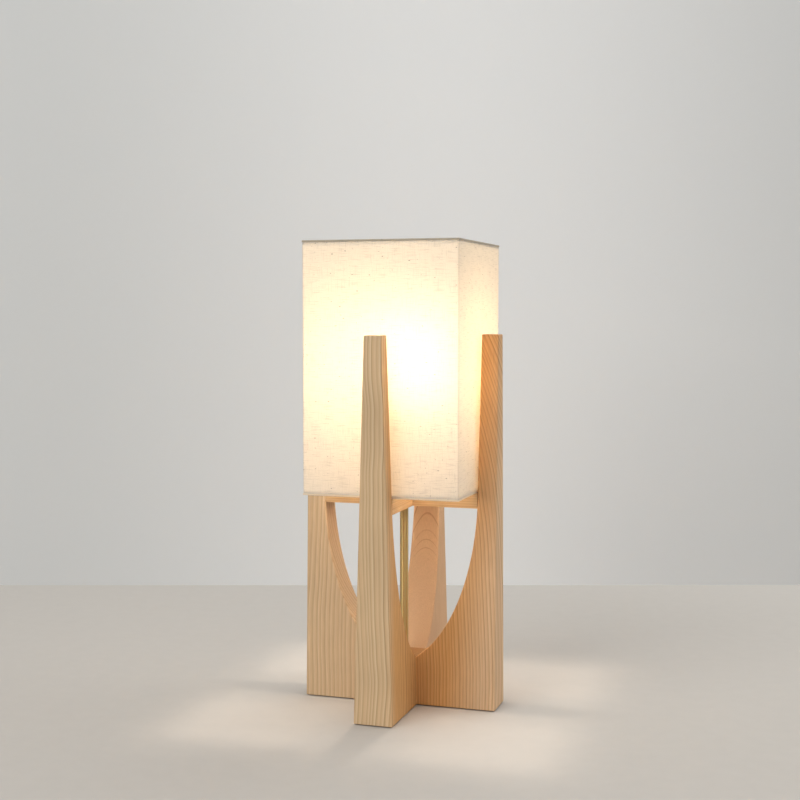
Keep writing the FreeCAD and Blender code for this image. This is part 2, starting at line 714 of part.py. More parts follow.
def make_bulb():
    """A screw-in bulb: cap with its insulator and contact, glass, and the mount with four filaments."""
    revolve("bulb_contact", [
        ("0", BULB_FLOOR),
        ("button_diameter / 2", BULB_FLOOR),
        ("button_diameter / 2", f"{BULB_FLOOR} + button_height"),
        ("0", f"{BULB_FLOOR} + button_height"),
    ])
    revolve("bulb_insulator", [
        ("0", f"{BULB_FLOOR} + button_height"),
        ("insulator_tip_diameter / 2", f"{BULB_FLOOR} + button_height"),
        ("cap_diameter / 2 - insulator_rim_inset", CAP_FLOOR),
        ("0", CAP_FLOOR),
    ])
    revolve("bulb_cap", [
        ("cap_flange_bore / 2", CAP_FLOOR),
        ("cap_diameter / 2", CAP_FLOOR),
        ("cap_diameter / 2", CAP_TOP),
        ("cap_diameter / 2 - cap_wall", CAP_TOP),
        ("cap_diameter / 2 - cap_wall", f"{CAP_FLOOR} + cap_wall"),
        ("cap_flange_bore / 2", f"{CAP_FLOOR} + cap_wall"),
    ])
    outside, outer_radius = glass_side("0")
    inside, inner_radius = glass_side("glass_thick")
    revolve("bulb_glass", outside + inside[::-1], {2: (outer_radius, True), 4: (inner_radius, False)})

    plate = "filament_plate_diameter / 2"
    rod = "mount_rod_diameter / 2"
    top = f"({FILAMENT_FLOOR} + filament_length)"
    neck = f"{NECK_RADIUS} - glass_thick - glass_gap"
    revolve("bulb_mount", [
        ("0", NECK_FLOOR),
        (neck, NECK_FLOOR),
        (neck, f"{NECK_FLOOR} + mount_plate_thick"),
        (rod, f"{NECK_FLOOR} + mount_plate_thick"),
        (rod, f"{FILAMENT_FLOOR} - filament_plate_thick"),
        (plate, f"{FILAMENT_FLOOR} - filament_plate_thick"),
        (plate, FILAMENT_FLOOR),
        (rod, FILAMENT_FLOOR),
        (rod, top),
        (plate, top),
        (plate, f"{top} + filament_plate_thick"),
        ("0", f"{top} + filament_plate_thick"),
    ])
    reach = "filament_circle / 2"
    spots = [(reach, "0"), ("0", reach), (f"-{reach}", "0"), ("0", f"-{reach}")]
    group("bulb_filaments", [
        cylinder(f"filament_{count}", "filament_diameter", "filament_length", x, y, FILAMENT_FLOOR)
        for count, (x, y) in enumerate(spots, start=1)
    ])


# Shade

SHADE_HALF = f"({INNER_RAIL} - shade_gap - hem_thick)"
SHADE_TOP = f"({RAIL_TOP} + shade_height)"
SHADE_WALL = "(linen_thick + liner_thick)"
WIRE_LINE = f"({SHADE_HALF} - {SHADE_WALL} - wire_gap - wire_diameter / 2)"
WIRE_CORNER = f"(shade_corner - {SHADE_WALL} - wire_gap - wire_diameter / 2)"
HEM_BORE = f"({SHADE_HALF} - {SHADE_WALL} - wire_diameter - 2 * hem_gap)"
WIRE_INSET = "(hem_thick + wire_gap + wire_diameter / 2)"
BOTTOM_WIRE = f"({RAIL_TOP} + {WIRE_INSET})"
TOP_WIRE = f"({SHADE_TOP} - {WIRE_INSET})"


def make_shade_wall(label, inset, thick):
    """One layer of the shade's wall: a square tube, open above and below."""
    body = new_body(label)
    section = new_sketch(body, "XY_Plane", f"{RAIL_TOP} + hem_thick")
    draw_rounded_square(section, f"({SHADE_HALF} - {inset})", f"(shade_corner - {inset})")
    draw_rounded_square(section, f"({SHADE_HALF} - {inset} - {thick})", f"(shade_corner - {inset} - {thick})")
    pad(body, section, "shade_height - 2 * hem_thick")
    keep(body, label)


def make_shade_wire(label, z):
    """A square wire with rounded corners, inside one edge of the shade."""
    body = new_body(label)
    path = new_sketch(body, "XY_Plane", z)
    draw_rounded_square(path, WIRE_LINE, WIRE_CORNER)
    section = new_sketch(body, "XZ_Plane")
    draw_circle(section, WIRE_LINE, z, "wire_diameter")
    pipe = body.newObject("PartDesign::AdditivePipe", f"{label}_pipe")
    pipe.Profile = section
    pipe.Spine = path
    doc.recompute()
    keep(body, label)


def make_shade_hem(label, edge, inner_edge, fold):
    """A linen hem folded over one edge of the shade and its wire: a channel that opens inwards."""
    body = new_body(label)
    outside = new_sketch(body, "XY_Plane", edge)
    draw_rounded_square(outside, f"({SHADE_HALF} + hem_thick)", "(shade_corner + hem_thick)")
    draw_square(outside, f"({HEM_BORE} - hem_thick)")
    pad(body, outside, "hem_height")
    channel = new_sketch(body, "XY_Plane", inner_edge)
    draw_rounded_square(channel, SHADE_HALF, "shade_corner")
    draw_square(channel, HEM_BORE)
    pocket(body, channel, "hem_height", reverse=fold)
    keep(body, label)


def make_shade():
    """The lift-off shade: linen on a stiff translucent liner, two square wires and two hems."""
    make_shade_wall("shade_linen", "0", "linen_thick")
    make_shade_wall("shade_liner", "linen_thick", "liner_thick")
    make_shade_wire("shade_top_wire", TOP_WIRE)
    make_shade_wire("shade_bottom_wire", BOTTOM_WIRE)
    make_shade_hem("shade_bottom_hem", RAIL_TOP, f"({RAIL_TOP} + hem_thick)", True)
    make_shade_hem("shade_top_hem", f"({SHADE_TOP} - hem_height)", f"({SHADE_TOP} - hem_thick)", False)


make_hub()
for side, turn in SIDES.items():
    make_hub_tenon(side, turn)
    make_leg(side, turn)
    make_foot_pad(side, turn)
make_rail("rail_left_right", 0, "rail_floor", RAIL_MIDDLE)
make_rail("rail_front_back", 90, RAIL_MIDDLE, RAIL_TOP)
make_stem()
make_base_cover()
make_cord_gland()
make_lampholder()
make_bulb()
make_shade()
doc.recompute()

failed = [thing.Label for thing in doc.Objects if {"Invalid", "Error"} & set(thing.State)]
failed += [part.Label for part in parts if part.Shape.isNull() or not part.Shape.isValid()]
if failed:
    raise RuntimeError(f"not built: {failed}")

os.makedirs("parts", exist_ok=True)
for part in parts:
    part.Shape.exportStep(f"parts/{part.Label}.step")
    print(f"{part.Label}: {len(part.Shape.Solids)} solid(s), {part.Shape.Volume / 1000:.2f} cm3")
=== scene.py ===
"""A lit, low wooden floor lamp.

Four curved, pale legs stand round a hub. Crossed rails between them carry a square linen shade, and a
brass stem with the lampholder and the bulb rises from the hub through the crossing.
"""

import logging
import math
from dataclasses import dataclass
from enum import Enum

import bmesh
import bpy
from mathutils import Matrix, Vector, noise


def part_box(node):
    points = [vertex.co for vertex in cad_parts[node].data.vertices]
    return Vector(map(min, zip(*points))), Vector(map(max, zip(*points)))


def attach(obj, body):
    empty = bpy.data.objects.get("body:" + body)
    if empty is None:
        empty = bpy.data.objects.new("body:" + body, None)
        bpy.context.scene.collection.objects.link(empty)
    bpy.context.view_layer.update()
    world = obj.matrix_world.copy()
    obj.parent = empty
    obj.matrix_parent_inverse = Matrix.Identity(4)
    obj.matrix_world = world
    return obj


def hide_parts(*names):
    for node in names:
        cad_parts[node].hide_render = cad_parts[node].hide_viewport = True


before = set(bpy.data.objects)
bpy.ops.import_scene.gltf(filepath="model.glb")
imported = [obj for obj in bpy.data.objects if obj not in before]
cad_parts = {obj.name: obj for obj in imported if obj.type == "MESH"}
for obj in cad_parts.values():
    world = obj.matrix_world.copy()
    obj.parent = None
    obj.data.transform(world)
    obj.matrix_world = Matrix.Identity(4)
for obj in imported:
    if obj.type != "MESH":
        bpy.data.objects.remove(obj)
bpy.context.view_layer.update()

MM = 0.001
LOG = logging.getLogger("lamp")

# Faces that meet at a sharper turn than this keep a hard edge, and closer points than this are one.
CREASE = math.radians(35)
MERGE = 0.001 * MM

# Faces round a turned piece, faces round a square's corner, and points along a square's side.
LATHE_STEPS = 64
CORNER_STEPS = 6
SIDE_CUTS = 28

# The middle of a noise, its middle values, most of its values, and nearly all of them.
NOISE_CENTRE = (0.5, 0.5, 0.5)
NOISE_MIDDLE = (0.3, 0.7)
NOISE_MOST = (0.25, 0.75)
NOISE_WIDE = (0.2, 0.8)

# Places of a Mix node's two colours among its inputs, and of their mixture among its outputs.
FIRST, SECOND, MIXED = 6, 7, 2

# What lies across a board whose length is along Z.
ACROSS = (1.0, 1.0, 0.0)

# Turns the direction of stretched highlights from round Z to along Z.
QUARTER_TURN = 0.25

Colour = tuple[float, float, float, float]
Triple = tuple[float, float, float]
Section = list[tuple[float, float]]
Material = bpy.types.Material
Socket = bpy.types.NodeSocket
Tree = bpy.types.NodeTree


class Body(str, Enum):
    """The parts of the lamp that move on their own."""

    FRAME = "frame"
    SHADE = "shade"
    BULB_FOOT = "bulb_foot"
    BULB_TOP = "bulb_top"


def linear(hex_colour: str) -> Colour:
    """Turn an sRGB hex colour into linear values.

    Args:
        hex_colour: Six hex digits, with or without a leading hash.

    Returns:
        Linear red, green, blue and an alpha of 1.
    """
    digits = hex_colour.lstrip("#")
    channels = [int(digits[i:i + 2], 16) / 255 for i in (0, 2, 4)]
    # The sRGB curve starts as a straight line and goes on as a power.
    curve = [c / 12.92 if c <= 0.04045 else ((c + 0.055) / 1.055) ** 2.4 for c in channels]
    return (*curve, 1.0)


def add(tree: Tree, kind: str, links: dict | None = None, **settings) -> bpy.types.Node:
    """Add a node to a tree, with its settings and what its sockets take.

    Args:
        tree: The node tree.
        kind: The node's type, without the leading word ShaderNode.
        links: For each input, by name or number, an output socket to link or a plain value.
        settings: Attributes of the node. stops is a list of (position, colour) for a colour ramp,
            and span and onto are the two ends that a range is mapped from and to.

    Returns:
        The new node.
    """
    node = tree.nodes.new(f"ShaderNode{kind}")
    for position, colour in settings.pop("stops", []):
        ramp = node.color_ramp.elements
        end = {0.0: 0, 1.0: len(ramp) - 1}.get(position)
        element = ramp.new(position) if end is None else ramp[end]
        element.color = colour
    inputs = dict(links or {})
    inputs.update(zip(("From Min", "From Max"), settings.pop("span", ())))
    inputs.update(zip(("To Min", "To Max"), settings.pop("onto", ())))
    for name, value in settings.items():
        setattr(node, name, value)
    for socket, source in inputs.items():
        if isinstance(source, Socket):
            tree.links.new(source, node.inputs[socket])
        else:
            node.inputs[socket].default_value = source
    return node


def new_material(name: str) -> tuple[Material, Tree]:
    """Make an empty node material.

    Args:
        name: The material's name.

    Returns:
        The material and its node tree.
    """
    material = bpy.data.materials.new(name)
    material.use_nodes = True
    material.node_tree.nodes.clear()
    return material, material.node_tree


def show(tree: Tree, shader: Socket) -> None:
    """Send a shader to the material's output."""
    add(tree, "OutputMaterial", {"Surface": shader})


@dataclass(frozen=True)
class StraightGrainWood:
    """Planed, oiled softwood: pale early growth, thin darker late rings, fine fibres and no gloss.

    Attributes:
        name: The material's name.
        heart: Where the middle of the tree lies, across the board.
        tilt: Turns in degrees that bring the board's length along Z.
        pale: Colour of a year's first growth.
        middle: Colour of the growth after it, and of wood that shows no rings.
        late: Colour of a year's last growth.
        rise: Share of a year at which the growth has the middle colour.
        peak: Share of a year at which it has the late colour.
        ring_mm: Mean width of a year's growth.
        weather: How many rings good and bad years shift the growth by.
        weather_rate: How many such spells there are to a year.
        summer_rate: How often the rings change between strong and faint, to a year.
        faintest: How strong the faintest ring is.
        sway_mm: How far the grain wanders sideways.
        sway_across: How often it wanders for each metre across the board.
        sway_rate: How often it wanders for each metre along it.
        lean: Metres that the grain bends sideways by, times the cube of the height.
        clear_below: Height below which the wood shows no rings.
        clear_fade_mm: How far above and below that height the rings fade.
        heart_glow_reach: How far the warmer heartwood tint, which also serves as painted warm light and
            painted shade, reaches from the middle of the tree.
        heart_glow_rise: Metres that it widens by for each metre of height.
        heart_glow_fade: Width over which it fades to sapwood.
        heart_glow_tint: Its tint, partly heartwood colour and partly painted warm light.
        fibre_mm: Width of a fibre.
        fibre_length_mm: Length of a fibre.
        fibre_tone: Darkest and palest tone of a fibre.
        patch_tone: Darkest and palest tone of a patch of the board.
        roughness: Roughness in the fibres' hollows and on their backs.
        relief_mm: Height of the fibres.
    """

    name: str
    heart: tuple[float, float]
    tilt: Triple = (0.0, 0.0, 0.0)
    pale: str = "#DABA92"
    middle: str = "#CFAB81"
    late: str = "#AE855A"
    rise: float = 0.5
    peak: float = 0.84
    ring_mm: float = 3.0
    weather: float = 3.0
    weather_rate: float = 0.22
    summer_rate: float = 0.7
    faintest: float = 0.3
    sway_mm: float = 4.0
    sway_across: float = 7.0
    sway_rate: float = 2.2
    lean: float = 0.0
    clear_below: float = -1.0
    clear_fade_mm: float = 15.0
    heart_glow_reach: float = 0.0
    heart_glow_rise: float = 0.0
    heart_glow_fade: float = 0.012
    heart_glow_tint: str = "#FFEACB"
    fibre_mm: float = 0.8
    fibre_length_mm: float = 40.0
    fibre_tone: tuple[float, float] = (0.88, 1.08)
    patch_tone: tuple[float, float] = (0.94, 1.05)
    roughness: tuple[float, float] = (0.72, 0.52)
    relief_mm: float = 0.15

    def build(self) -> Material:
        """Build the wood: growth rings about the tree's heart, seen wherever a face cuts them.

        Returns:
            The material.
        """
        material, tree = new_material(self.name)
        place = add(tree, "TexCoord").outputs["Object"]
        turn = tuple(math.radians(angle) for angle in self.tilt)
        heart = (-self.heart[0], -self.heart[1], 0.0)
        board = add(tree, "Mapping", {"Vector": place, "Rotation": turn, "Location": heart}).outputs[0]
        height = add(tree, "SeparateXYZ", {0: board}).outputs["Z"]
        wander = (self.sway_across, self.sway_across, self.sway_rate)
        slow = add(tree, "Mapping", {"Vector": board, "Scale": wander}).outputs[0]
        years = self.add_years(tree, board, height, slow)
        rings = self.add_rings(tree, years, height)
        # Heartwood tint, which on the front and right legs is also painted warm light and painted shade.
        grain = self.add_heartwood_and_glow(tree, board, height, rings)
        wide, long = (1 / (size * MM) for size in (self.fibre_mm, self.fibre_length_mm))
        lie = add(tree, "Mapping", {"Vector": board, "Scale": (wide, wide, long)}).outputs[0]
        strands = add(tree, "TexNoise", {"Vector": lie, "Scale": 1.0, "Detail": 3.0, "Roughness": 0.6})
        fibre = strands.outputs["Fac"]
        patch = add(tree, "TexNoise", {"Vector": slow, "Scale": 2.0, "Detail": 1.0}).outputs["Fac"]
        tone = add(tree, "MapRange", {"Value": fibre}, span=NOISE_MOST, onto=self.fibre_tone)
        wash = add(tree, "MapRange", {"Value": patch}, span=NOISE_MIDDLE, onto=self.patch_tone)
        light = add(tree, "Math", {0: tone.outputs[0], 1: wash.outputs[0]}, operation="MULTIPLY")
        colour = add(tree, "VectorMath", {0: grain, "Scale": light.outputs[0]}, operation="SCALE")
        rough = add(tree, "MapRange", {"Value": fibre}, span=NOISE_WIDE, onto=self.roughness)
        bump = add(tree, "Bump", {"Height": fibre, "Strength": 0.25, "Distance": self.relief_mm * MM})
        surface = add(
            tree, "BsdfPrincipled",
            {"Base Color": colour.outputs[0], "Roughness": rough.outputs[0], "Normal": bump.outputs[0],
             "Specular IOR Level": 0.35},
        )
        show(tree, surface.outputs[0])
        return material

    def add_years(self, tree: Tree, board: Socket, height: Socket, slow: Socket) -> Socket:
        """Add the count of years from the middle of the tree outwards.

        Args:
            tree: The material's nodes.
            board: The place in the board, seen from the middle of the tree.
            height: The place along the tree.
            slow: The place in the board, scaled for slow changes.

        Returns:
            The years, with their fraction.
        """
        sway = add(tree, "TexNoise", {"Vector": slow, "Scale": 1.0, "Detail": 2.0, "Roughness": 0.45})
        drift = add(tree, "VectorMath", {0: sway.outputs["Color"], 1: NOISE_CENTRE}, operation="SUBTRACT")
        most = 2 * self.sway_mm * MM
        bent = add(tree, "VectorMath", {0: drift.outputs[0], "Scale": most}, operation="SCALE")
        cube = add(tree, "Math", {0: height, 1: 3.0}, operation="POWER")
        aside = add(tree, "Math", {0: cube.outputs[0], 1: self.lean}, operation="MULTIPLY")
        leant = add(tree, "CombineXYZ", {0: aside.outputs[0]})
        swept = add(tree, "VectorMath", {0: bent.outputs[0], 1: leant.outputs[0]}, operation="ADD")
        grown = add(tree, "VectorMath", {0: board, 1: swept.outputs[0]}, operation="ADD")
        flat = add(tree, "VectorMath", {0: grown.outputs[0], 1: ACROSS}, operation="MULTIPLY")
        reach = add(tree, "VectorMath", {0: flat.outputs[0]}, operation="LENGTH").outputs["Value"]
        rate = 1 / (self.ring_mm * MM)
        even = add(tree, "Math", {0: reach, 1: rate}, operation="MULTIPLY").outputs[0]
        spells = add(
            tree, "TexNoise", {"W": even, "Scale": self.weather_rate, "Detail": 1.0}, noise_dimensions="1D"
        ).outputs["Fac"]
        return add(tree, "Math", {0: spells, 1: self.weather, 2: even}, operation="MULTIPLY_ADD").outputs[0]

    def add_rings(self, tree: Tree, years: Socket, height: Socket) -> Socket:
        """Add the colour of each year's growth.

        Args:
            tree: The material's nodes.
            years: The count of years.
            height: The place along the tree.

        Returns:
            The colour.
        """
        season = add(tree, "Math", {0: years}, operation="FRACT")
        pale, middle, late = (linear(colour) for colour in (self.pale, self.middle, self.late))
        rings = add(
            tree, "ValToRGB", {"Fac": season.outputs[0]},
            stops=[(0.0, pale), (self.rise, middle), (self.peak, late), (1.0, pale)],
        )
        summers = add(
            tree, "TexNoise", {"W": years, "Scale": self.summer_rate, "Detail": 1.0}, noise_dimensions="1D"
        ).outputs["Fac"]
        marked = add(tree, "MapRange", {"Value": summers}, span=NOISE_MIDDLE, onto=(self.faintest, 1.0))
        fade = self.clear_fade_mm * MM
        ends = (self.clear_below - fade, self.clear_below + fade)
        clear = add(tree, "MapRange", {"Value": height}, span=ends)
        drawn = add(tree, "Math", {0: marked.outputs[0], 1: clear.outputs[0]}, operation="MULTIPLY")
        grain = add(
            tree, "Mix", {"Factor": drawn.outputs[0], FIRST: middle, SECOND: rings.outputs["Color"]},
            data_type="RGBA",
        )
        return grain.outputs[MIXED]

    def add_heartwood_and_glow(self, tree: Tree, board: Socket, height: Socket, grain: Socket) -> Socket:
        """Warm and darken the colour near the middle of the tree: partly heartwood, partly painted warm light
        and painted shade.

        Args:
            tree: The material's nodes.
            board: The place in the board, seen from the middle of the tree.
            height: The place along the tree.
            grain: The colour of the grain.

        Returns:
            The colour with the tint of heartwood and of painted light.
        """
        flat = add(tree, "VectorMath", {0: board, 1: ACROSS}, operation="MULTIPLY")
        depth = add(tree, "VectorMath", {0: flat.outputs[0]}, operation="LENGTH").outputs["Value"]
        level = add(tree, "Math", {0: height, 1: -self.heart_glow_rise, 2: depth}, operation="MULTIPLY_ADD")
        ends = (self.heart_glow_reach - self.heart_glow_fade, self.heart_glow_reach)
        inner = add(tree, "MapRange", {"Value": level.outputs[0]}, span=ends, onto=(1.0, 0.0))
        tint = linear(self.heart_glow_tint)[:3]
        warm = add(tree, "VectorMath", {0: grain, 1: tint}, operation="MULTIPLY")
        both = add(
            tree, "Mix", {"Factor": inner.outputs[0], FIRST: grain, SECOND: warm.outputs[0]},
            data_type="RGBA",
        )
        return both.outputs[MIXED]


@dataclass(frozen=True)
class Linen:
    """Undyed woven linen: uneven threads both ways, short slubs, grey flecks, and light through it.

    A thread's tone is the lowest and highest noise that it is drawn from, and how much it darkens the
    cloth. Real threads are 0.6 mm wide, and are drawn coarser here so that they show.

    Attributes:
        name: The material's name.
        cloth: Colour of the even cloth.
        slub_and_shade: Colour of thick threads, and of the painted shade along corner folds and two-layer hem
            bands.
        fleck: Colour of the flecks.
        through: Share of the light that goes through the cloth.
        straight: Share of that light that roughly keeps its direction.
        scatter: Tint of the light that is spread all round instead.
        thread_mm: Width of a thread.
        slub_mm: Length of a slub.
        fleck_mm: Length of a fleck.
        fleck_slim: A fleck's length divided by its width.
        weft: Tone of the slubs that lie level.
        warp: Tone of the slubs that stand.
        knot: Tone of the short unevenness.
        speck: Tone of the flecks.
        fray_mm: Width and length of the loose ends beside a hem.
        fray_lean: Degrees that the loose ends lean by.
        fray: Tone of the loose ends.
        fold_from: Distance from the middle at which the fold round a corner starts.
        fold_soft: Width over which it sets in.
        hem_from: Heights at which the bottom and the top hem start.
        hem_soft: Width over which a hem sets in.
        doubled_shade: How much painted shade darkens the fold round each corner, the bottom hem band and the
            top hem band.
        relief_mm: Height of the threads.
    """

    name: str
    cloth: str = "#F3F1EC"
    slub_and_shade: str = "#A3A4A3"
    fleck: str = "#47515A"
    through: float = 0.45
    straight: float = 0.62
    scatter: str = "#FFE6BA"
    thread_mm: float = 1.0
    slub_mm: float = 16.0
    fleck_mm: float = 5.0
    fleck_slim: float = 3.0
    weft: Triple = (0.53, 0.76, 0.34)
    warp: Triple = (0.53, 0.78, 0.22)
    knot: Triple = (0.4, 0.8, 0.14)
    speck: Triple = (0.70, 0.74, 0.75)
    fray_mm: tuple[float, float] = (0.9, 6.0)
    fray_lean: float = 35.0
    fray: Triple = (0.60, 0.70, 1.2)
    fold_from: float = 1.0
    fold_soft: float = 0.5 * MM
    hem_from: tuple[float, float] = (-1.0, 1.0)
    hem_soft: float = 6.0 * MM
    doubled_shade: Triple = (0.18, 0.2, 0.45)
    relief_mm: float = 0.2

    def build(self) -> Material:
        """Build the cloth: a matt woven face, and light that goes through it straight and spread.

        Returns:
            The material.
        """
        material, tree = new_material(self.name)
        place = add(tree, "TexCoord").outputs["Object"]
        parted = add(tree, "SeparateXYZ", {0: place})
        along = add(tree, "Math", {0: parted.outputs["X"], 1: parted.outputs["Y"]}, operation="ADD")
        sheet = add(tree, "CombineXYZ", {0: along.outputs[0], 2: parted.outputs["Z"]}).outputs[0]
        uneven, woven = self.add_weave(tree, sheet)
        # Painted shade along the corner folds and in the two-layer hem bands.
        doubling_shade = self.add_doubled_shade(tree, parted, sheet)
        colour = add(
            tree, "Mix", {"Factor": doubling_shade, FIRST: woven, SECOND: linear(self.slub_and_shade)}, data_type="RGBA"
        ).outputs[MIXED]
        bump = add(tree, "Bump", {"Height": uneven, "Strength": 0.3, "Distance": self.relief_mm * MM})
        face = add(
            tree, "BsdfPrincipled",
            {"Base Color": colour, "Roughness": 0.9, "Sheen Weight": 0.2, "Sheen Roughness": 0.5,
             "Normal": bump.outputs[0], "Specular IOR Level": 0.2},
        )
        tint = linear(self.scatter)[:3]
        warmed = add(tree, "VectorMath", {0: colour, 1: tint}, operation="MULTIPLY")
        spread = add(tree, "BsdfTranslucent", {"Color": warmed.outputs[0]})
        straight = add(tree, "BsdfRefraction", {"Color": colour, "Roughness": 0.9, "IOR": 1.35})
        glow = add(tree, "MixShader", {0: self.straight, 1: spread.outputs[0], 2: straight.outputs[0]})
        both = add(tree, "MixShader", {0: self.through, 1: face.outputs[0], 2: glow.outputs[0]})
        show(tree, both.outputs[0])
        return material

    def add_weave(self, tree: Tree, sheet: Socket) -> tuple[Socket, Socket]:
        """Add the threads and the flecks.

        Args:
            tree: The material's nodes.
            sheet: The place on the cloth.

        Returns:
            How thick the threads are, and the colour of the cloth.
        """
        sizes = (self.thread_mm, self.slub_mm, self.fleck_mm, self.fleck_mm / self.fleck_slim)
        fine, long, short, coarse = (1 / (size * MM) for size in sizes)
        threads = (
            ((long, 1.0, fine), self.weft),
            ((fine, 1.0, long), self.warp),
            ((fine, 1.0, fine), self.knot),
            ((short, 1.0, coarse), self.speck),
        )
        tones = []
        for scale, (low, high, depth) in threads:
            lie = add(tree, "Mapping", {"Vector": sheet, "Scale": scale})
            thread = add(tree, "TexNoise", {"Vector": lie.outputs[0], "Scale": 1.0, "Detail": 1.5})
            thick = add(
                tree, "MapRange", {"Value": thread.outputs["Fac"]}, span=(low, high), onto=(0.0, depth)
            )
            tones.append(thick.outputs[0])
        weft, warp, knots, specks = tones
        slubs = add(tree, "Math", {0: weft, 1: warp}, operation="ADD").outputs[0]
        uneven = add(tree, "Math", {0: slubs, 1: knots}, operation="ADD", use_clamp=True).outputs[0]
        woven = add(
            tree, "Mix", {"Factor": uneven, FIRST: linear(self.cloth), SECOND: linear(self.slub_and_shade)},
            data_type="RGBA",
        )
        flecked = add(
            tree, "Mix", {"Factor": specks, FIRST: woven.outputs[MIXED], SECOND: linear(self.fleck)},
            data_type="RGBA",
        )
        return uneven, flecked.outputs[MIXED]

    def add_doubled_shade(self, tree: Tree, parted: bpy.types.Node, sheet: Socket) -> Socket:
        """Add painted shade along the corner folds and in the two-layer hem bands, with loose thread ends
        beside the hems.

        Args:
            tree: The material's nodes.
            parted: The node that parts the place in the shade into X, Y and Z.
            sheet: The place on the cloth.

        Returns:
            How much the painted shade and the thread ends darken the place.
        """
        sides = [
            add(tree, "Math", {0: parted.outputs[axis]}, operation="ABSOLUTE").outputs[0] for axis in "XY"
        ]
        nearer = add(tree, "Math", {0: sides[0], 1: sides[1]}, operation="MINIMUM").outputs[0]
        height = parted.outputs["Z"]
        bottom, top = self.hem_from
        at_fold, at_bottom, at_top = self.doubled_shade
        bands = (
            (nearer, self.fold_from, self.fold_soft, at_fold),
            (height, top, self.hem_soft, at_top),
            (height, bottom, -self.hem_soft, at_bottom),
        )
        fold, upper, lower = (
            add(tree, "MapRange", {"Value": value}, span=(start, start + width), onto=(0.0, depth)).outputs[0]
            for value, start, width, depth in bands
        )
        hems = add(tree, "Math", {0: upper, 1: lower}, operation="MAXIMUM").outputs[0]
        slant = (0.0, math.radians(self.fray_lean), 0.0)
        wide, long = (size * MM for size in self.fray_mm)
        lie = add(
            tree, "Mapping", {"Vector": sheet, "Rotation": slant, "Scale": (wide, 1.0, long)},
            vector_type="TEXTURE",
        )
        strand = add(tree, "TexNoise", {"Vector": lie.outputs[0], "Scale": 1.0, "Detail": 1.0})
        low, high, depth = self.fray
        ends = add(
            tree, "MapRange", {"Value": strand.outputs["Fac"]}, span=(low, high), onto=(0.0, depth)
        ).outputs[0]
        frayed = add(tree, "Math", {0: ends, 1: hems}, operation="MULTIPLY").outputs[0]
        folds = add(tree, "Math", {0: fold, 1: hems}, operation="MAXIMUM").outputs[0]
        return add(tree, "Math", {0: folds, 1: frayed}, operation="ADD", use_clamp=True).outputs[0]


@dataclass(frozen=True)
class Plain:
    """A finish with one colour, a slight unevenness of tone and gloss, and its own roughness.

    Attributes:
        name: The material's name.
        colour: Its colour.
        roughness: Its mean roughness.
        metallic: 1 for a bare metal.
        grit_mm: Size of the unevenness, drawn coarse enough to show.
        uneven: How much darker its darkest tone is.
        drawn: How many times longer the unevenness is along Z, as on drawn tube.
        buffed: How far marks of buffing round Z stretch highlights along Z.
        bump_mm: Height of the unevenness.
    """

    name: str
    colour: str
    roughness: float
    metallic: float = 0.0
    grit_mm: float = 2.0
    uneven: float = 0.12
    drawn: float = 1.0
    buffed: float = 0.0
    bump_mm: float = 0.02

    def build(self) -> Material:
        """Build the finish.

        Returns:
            The material.
        """
        material, tree = new_material(self.name)
        place = add(tree, "TexCoord").outputs["Object"]
        size = 1 / (self.grit_mm * MM)
        lie = add(tree, "Mapping", {"Vector": place, "Scale": (size, size, size / self.drawn)})
        speckle = add(tree, "TexNoise", {"Vector": lie.outputs[0], "Scale": 1.0, "Detail": 3.0})
        grit = speckle.outputs["Fac"]
        ends = (1 - self.uneven, 1 + self.uneven / 2)
        tone = add(tree, "MapRange", {"Value": grit}, span=NOISE_MOST, onto=ends).outputs[0]
        plain = linear(self.colour)[:3]
        colour = add(tree, "VectorMath", {0: plain, "Scale": tone}, operation="SCALE")
        rough = add(tree, "Math", {0: tone, 1: self.roughness}, operation="MULTIPLY", use_clamp=True)
        bump = add(tree, "Bump", {"Height": grit, "Strength": 0.2, "Distance": self.bump_mm * MM})
        surface = add(
            tree, "BsdfPrincipled",
            {"Base Color": colour.outputs[0], "Roughness": rough.outputs[0], "Metallic": self.metallic,
             "Normal": bump.outputs[0], "Anisotropic": self.buffed, "Anisotropic Rotation": QUARTER_TURN},
        )
        show(tree, surface.outputs[0])
        return material


@dataclass(frozen=True)
class LitOpalGlass:
    """Opal glass with a warm light inside it: milky, smooth, and glowing all over.

    Attributes:
        name: The material's name.
        milk: Colour of the unlit glass.
        glow: Colour of the light.
        strength: Strength of the glow that is seen on the glass itself.
    """

    name: str
    milk: str = "#F6F1E8"
    glow: str = "#FFF0DE"
    strength: float = 1.6

    def build(self) -> Material:
        """Build the glowing glass.

        Returns:
            The material.
        """
        material, tree = new_material(self.name)
        surface = add(
            tree, "BsdfPrincipled",
            {"Base Color": linear(self.milk), "Roughness": 0.25, "Emission Color": linear(self.glow),
             "Emission Strength": self.strength},
        )
        show(tree, surface.outputs[0])
        return material


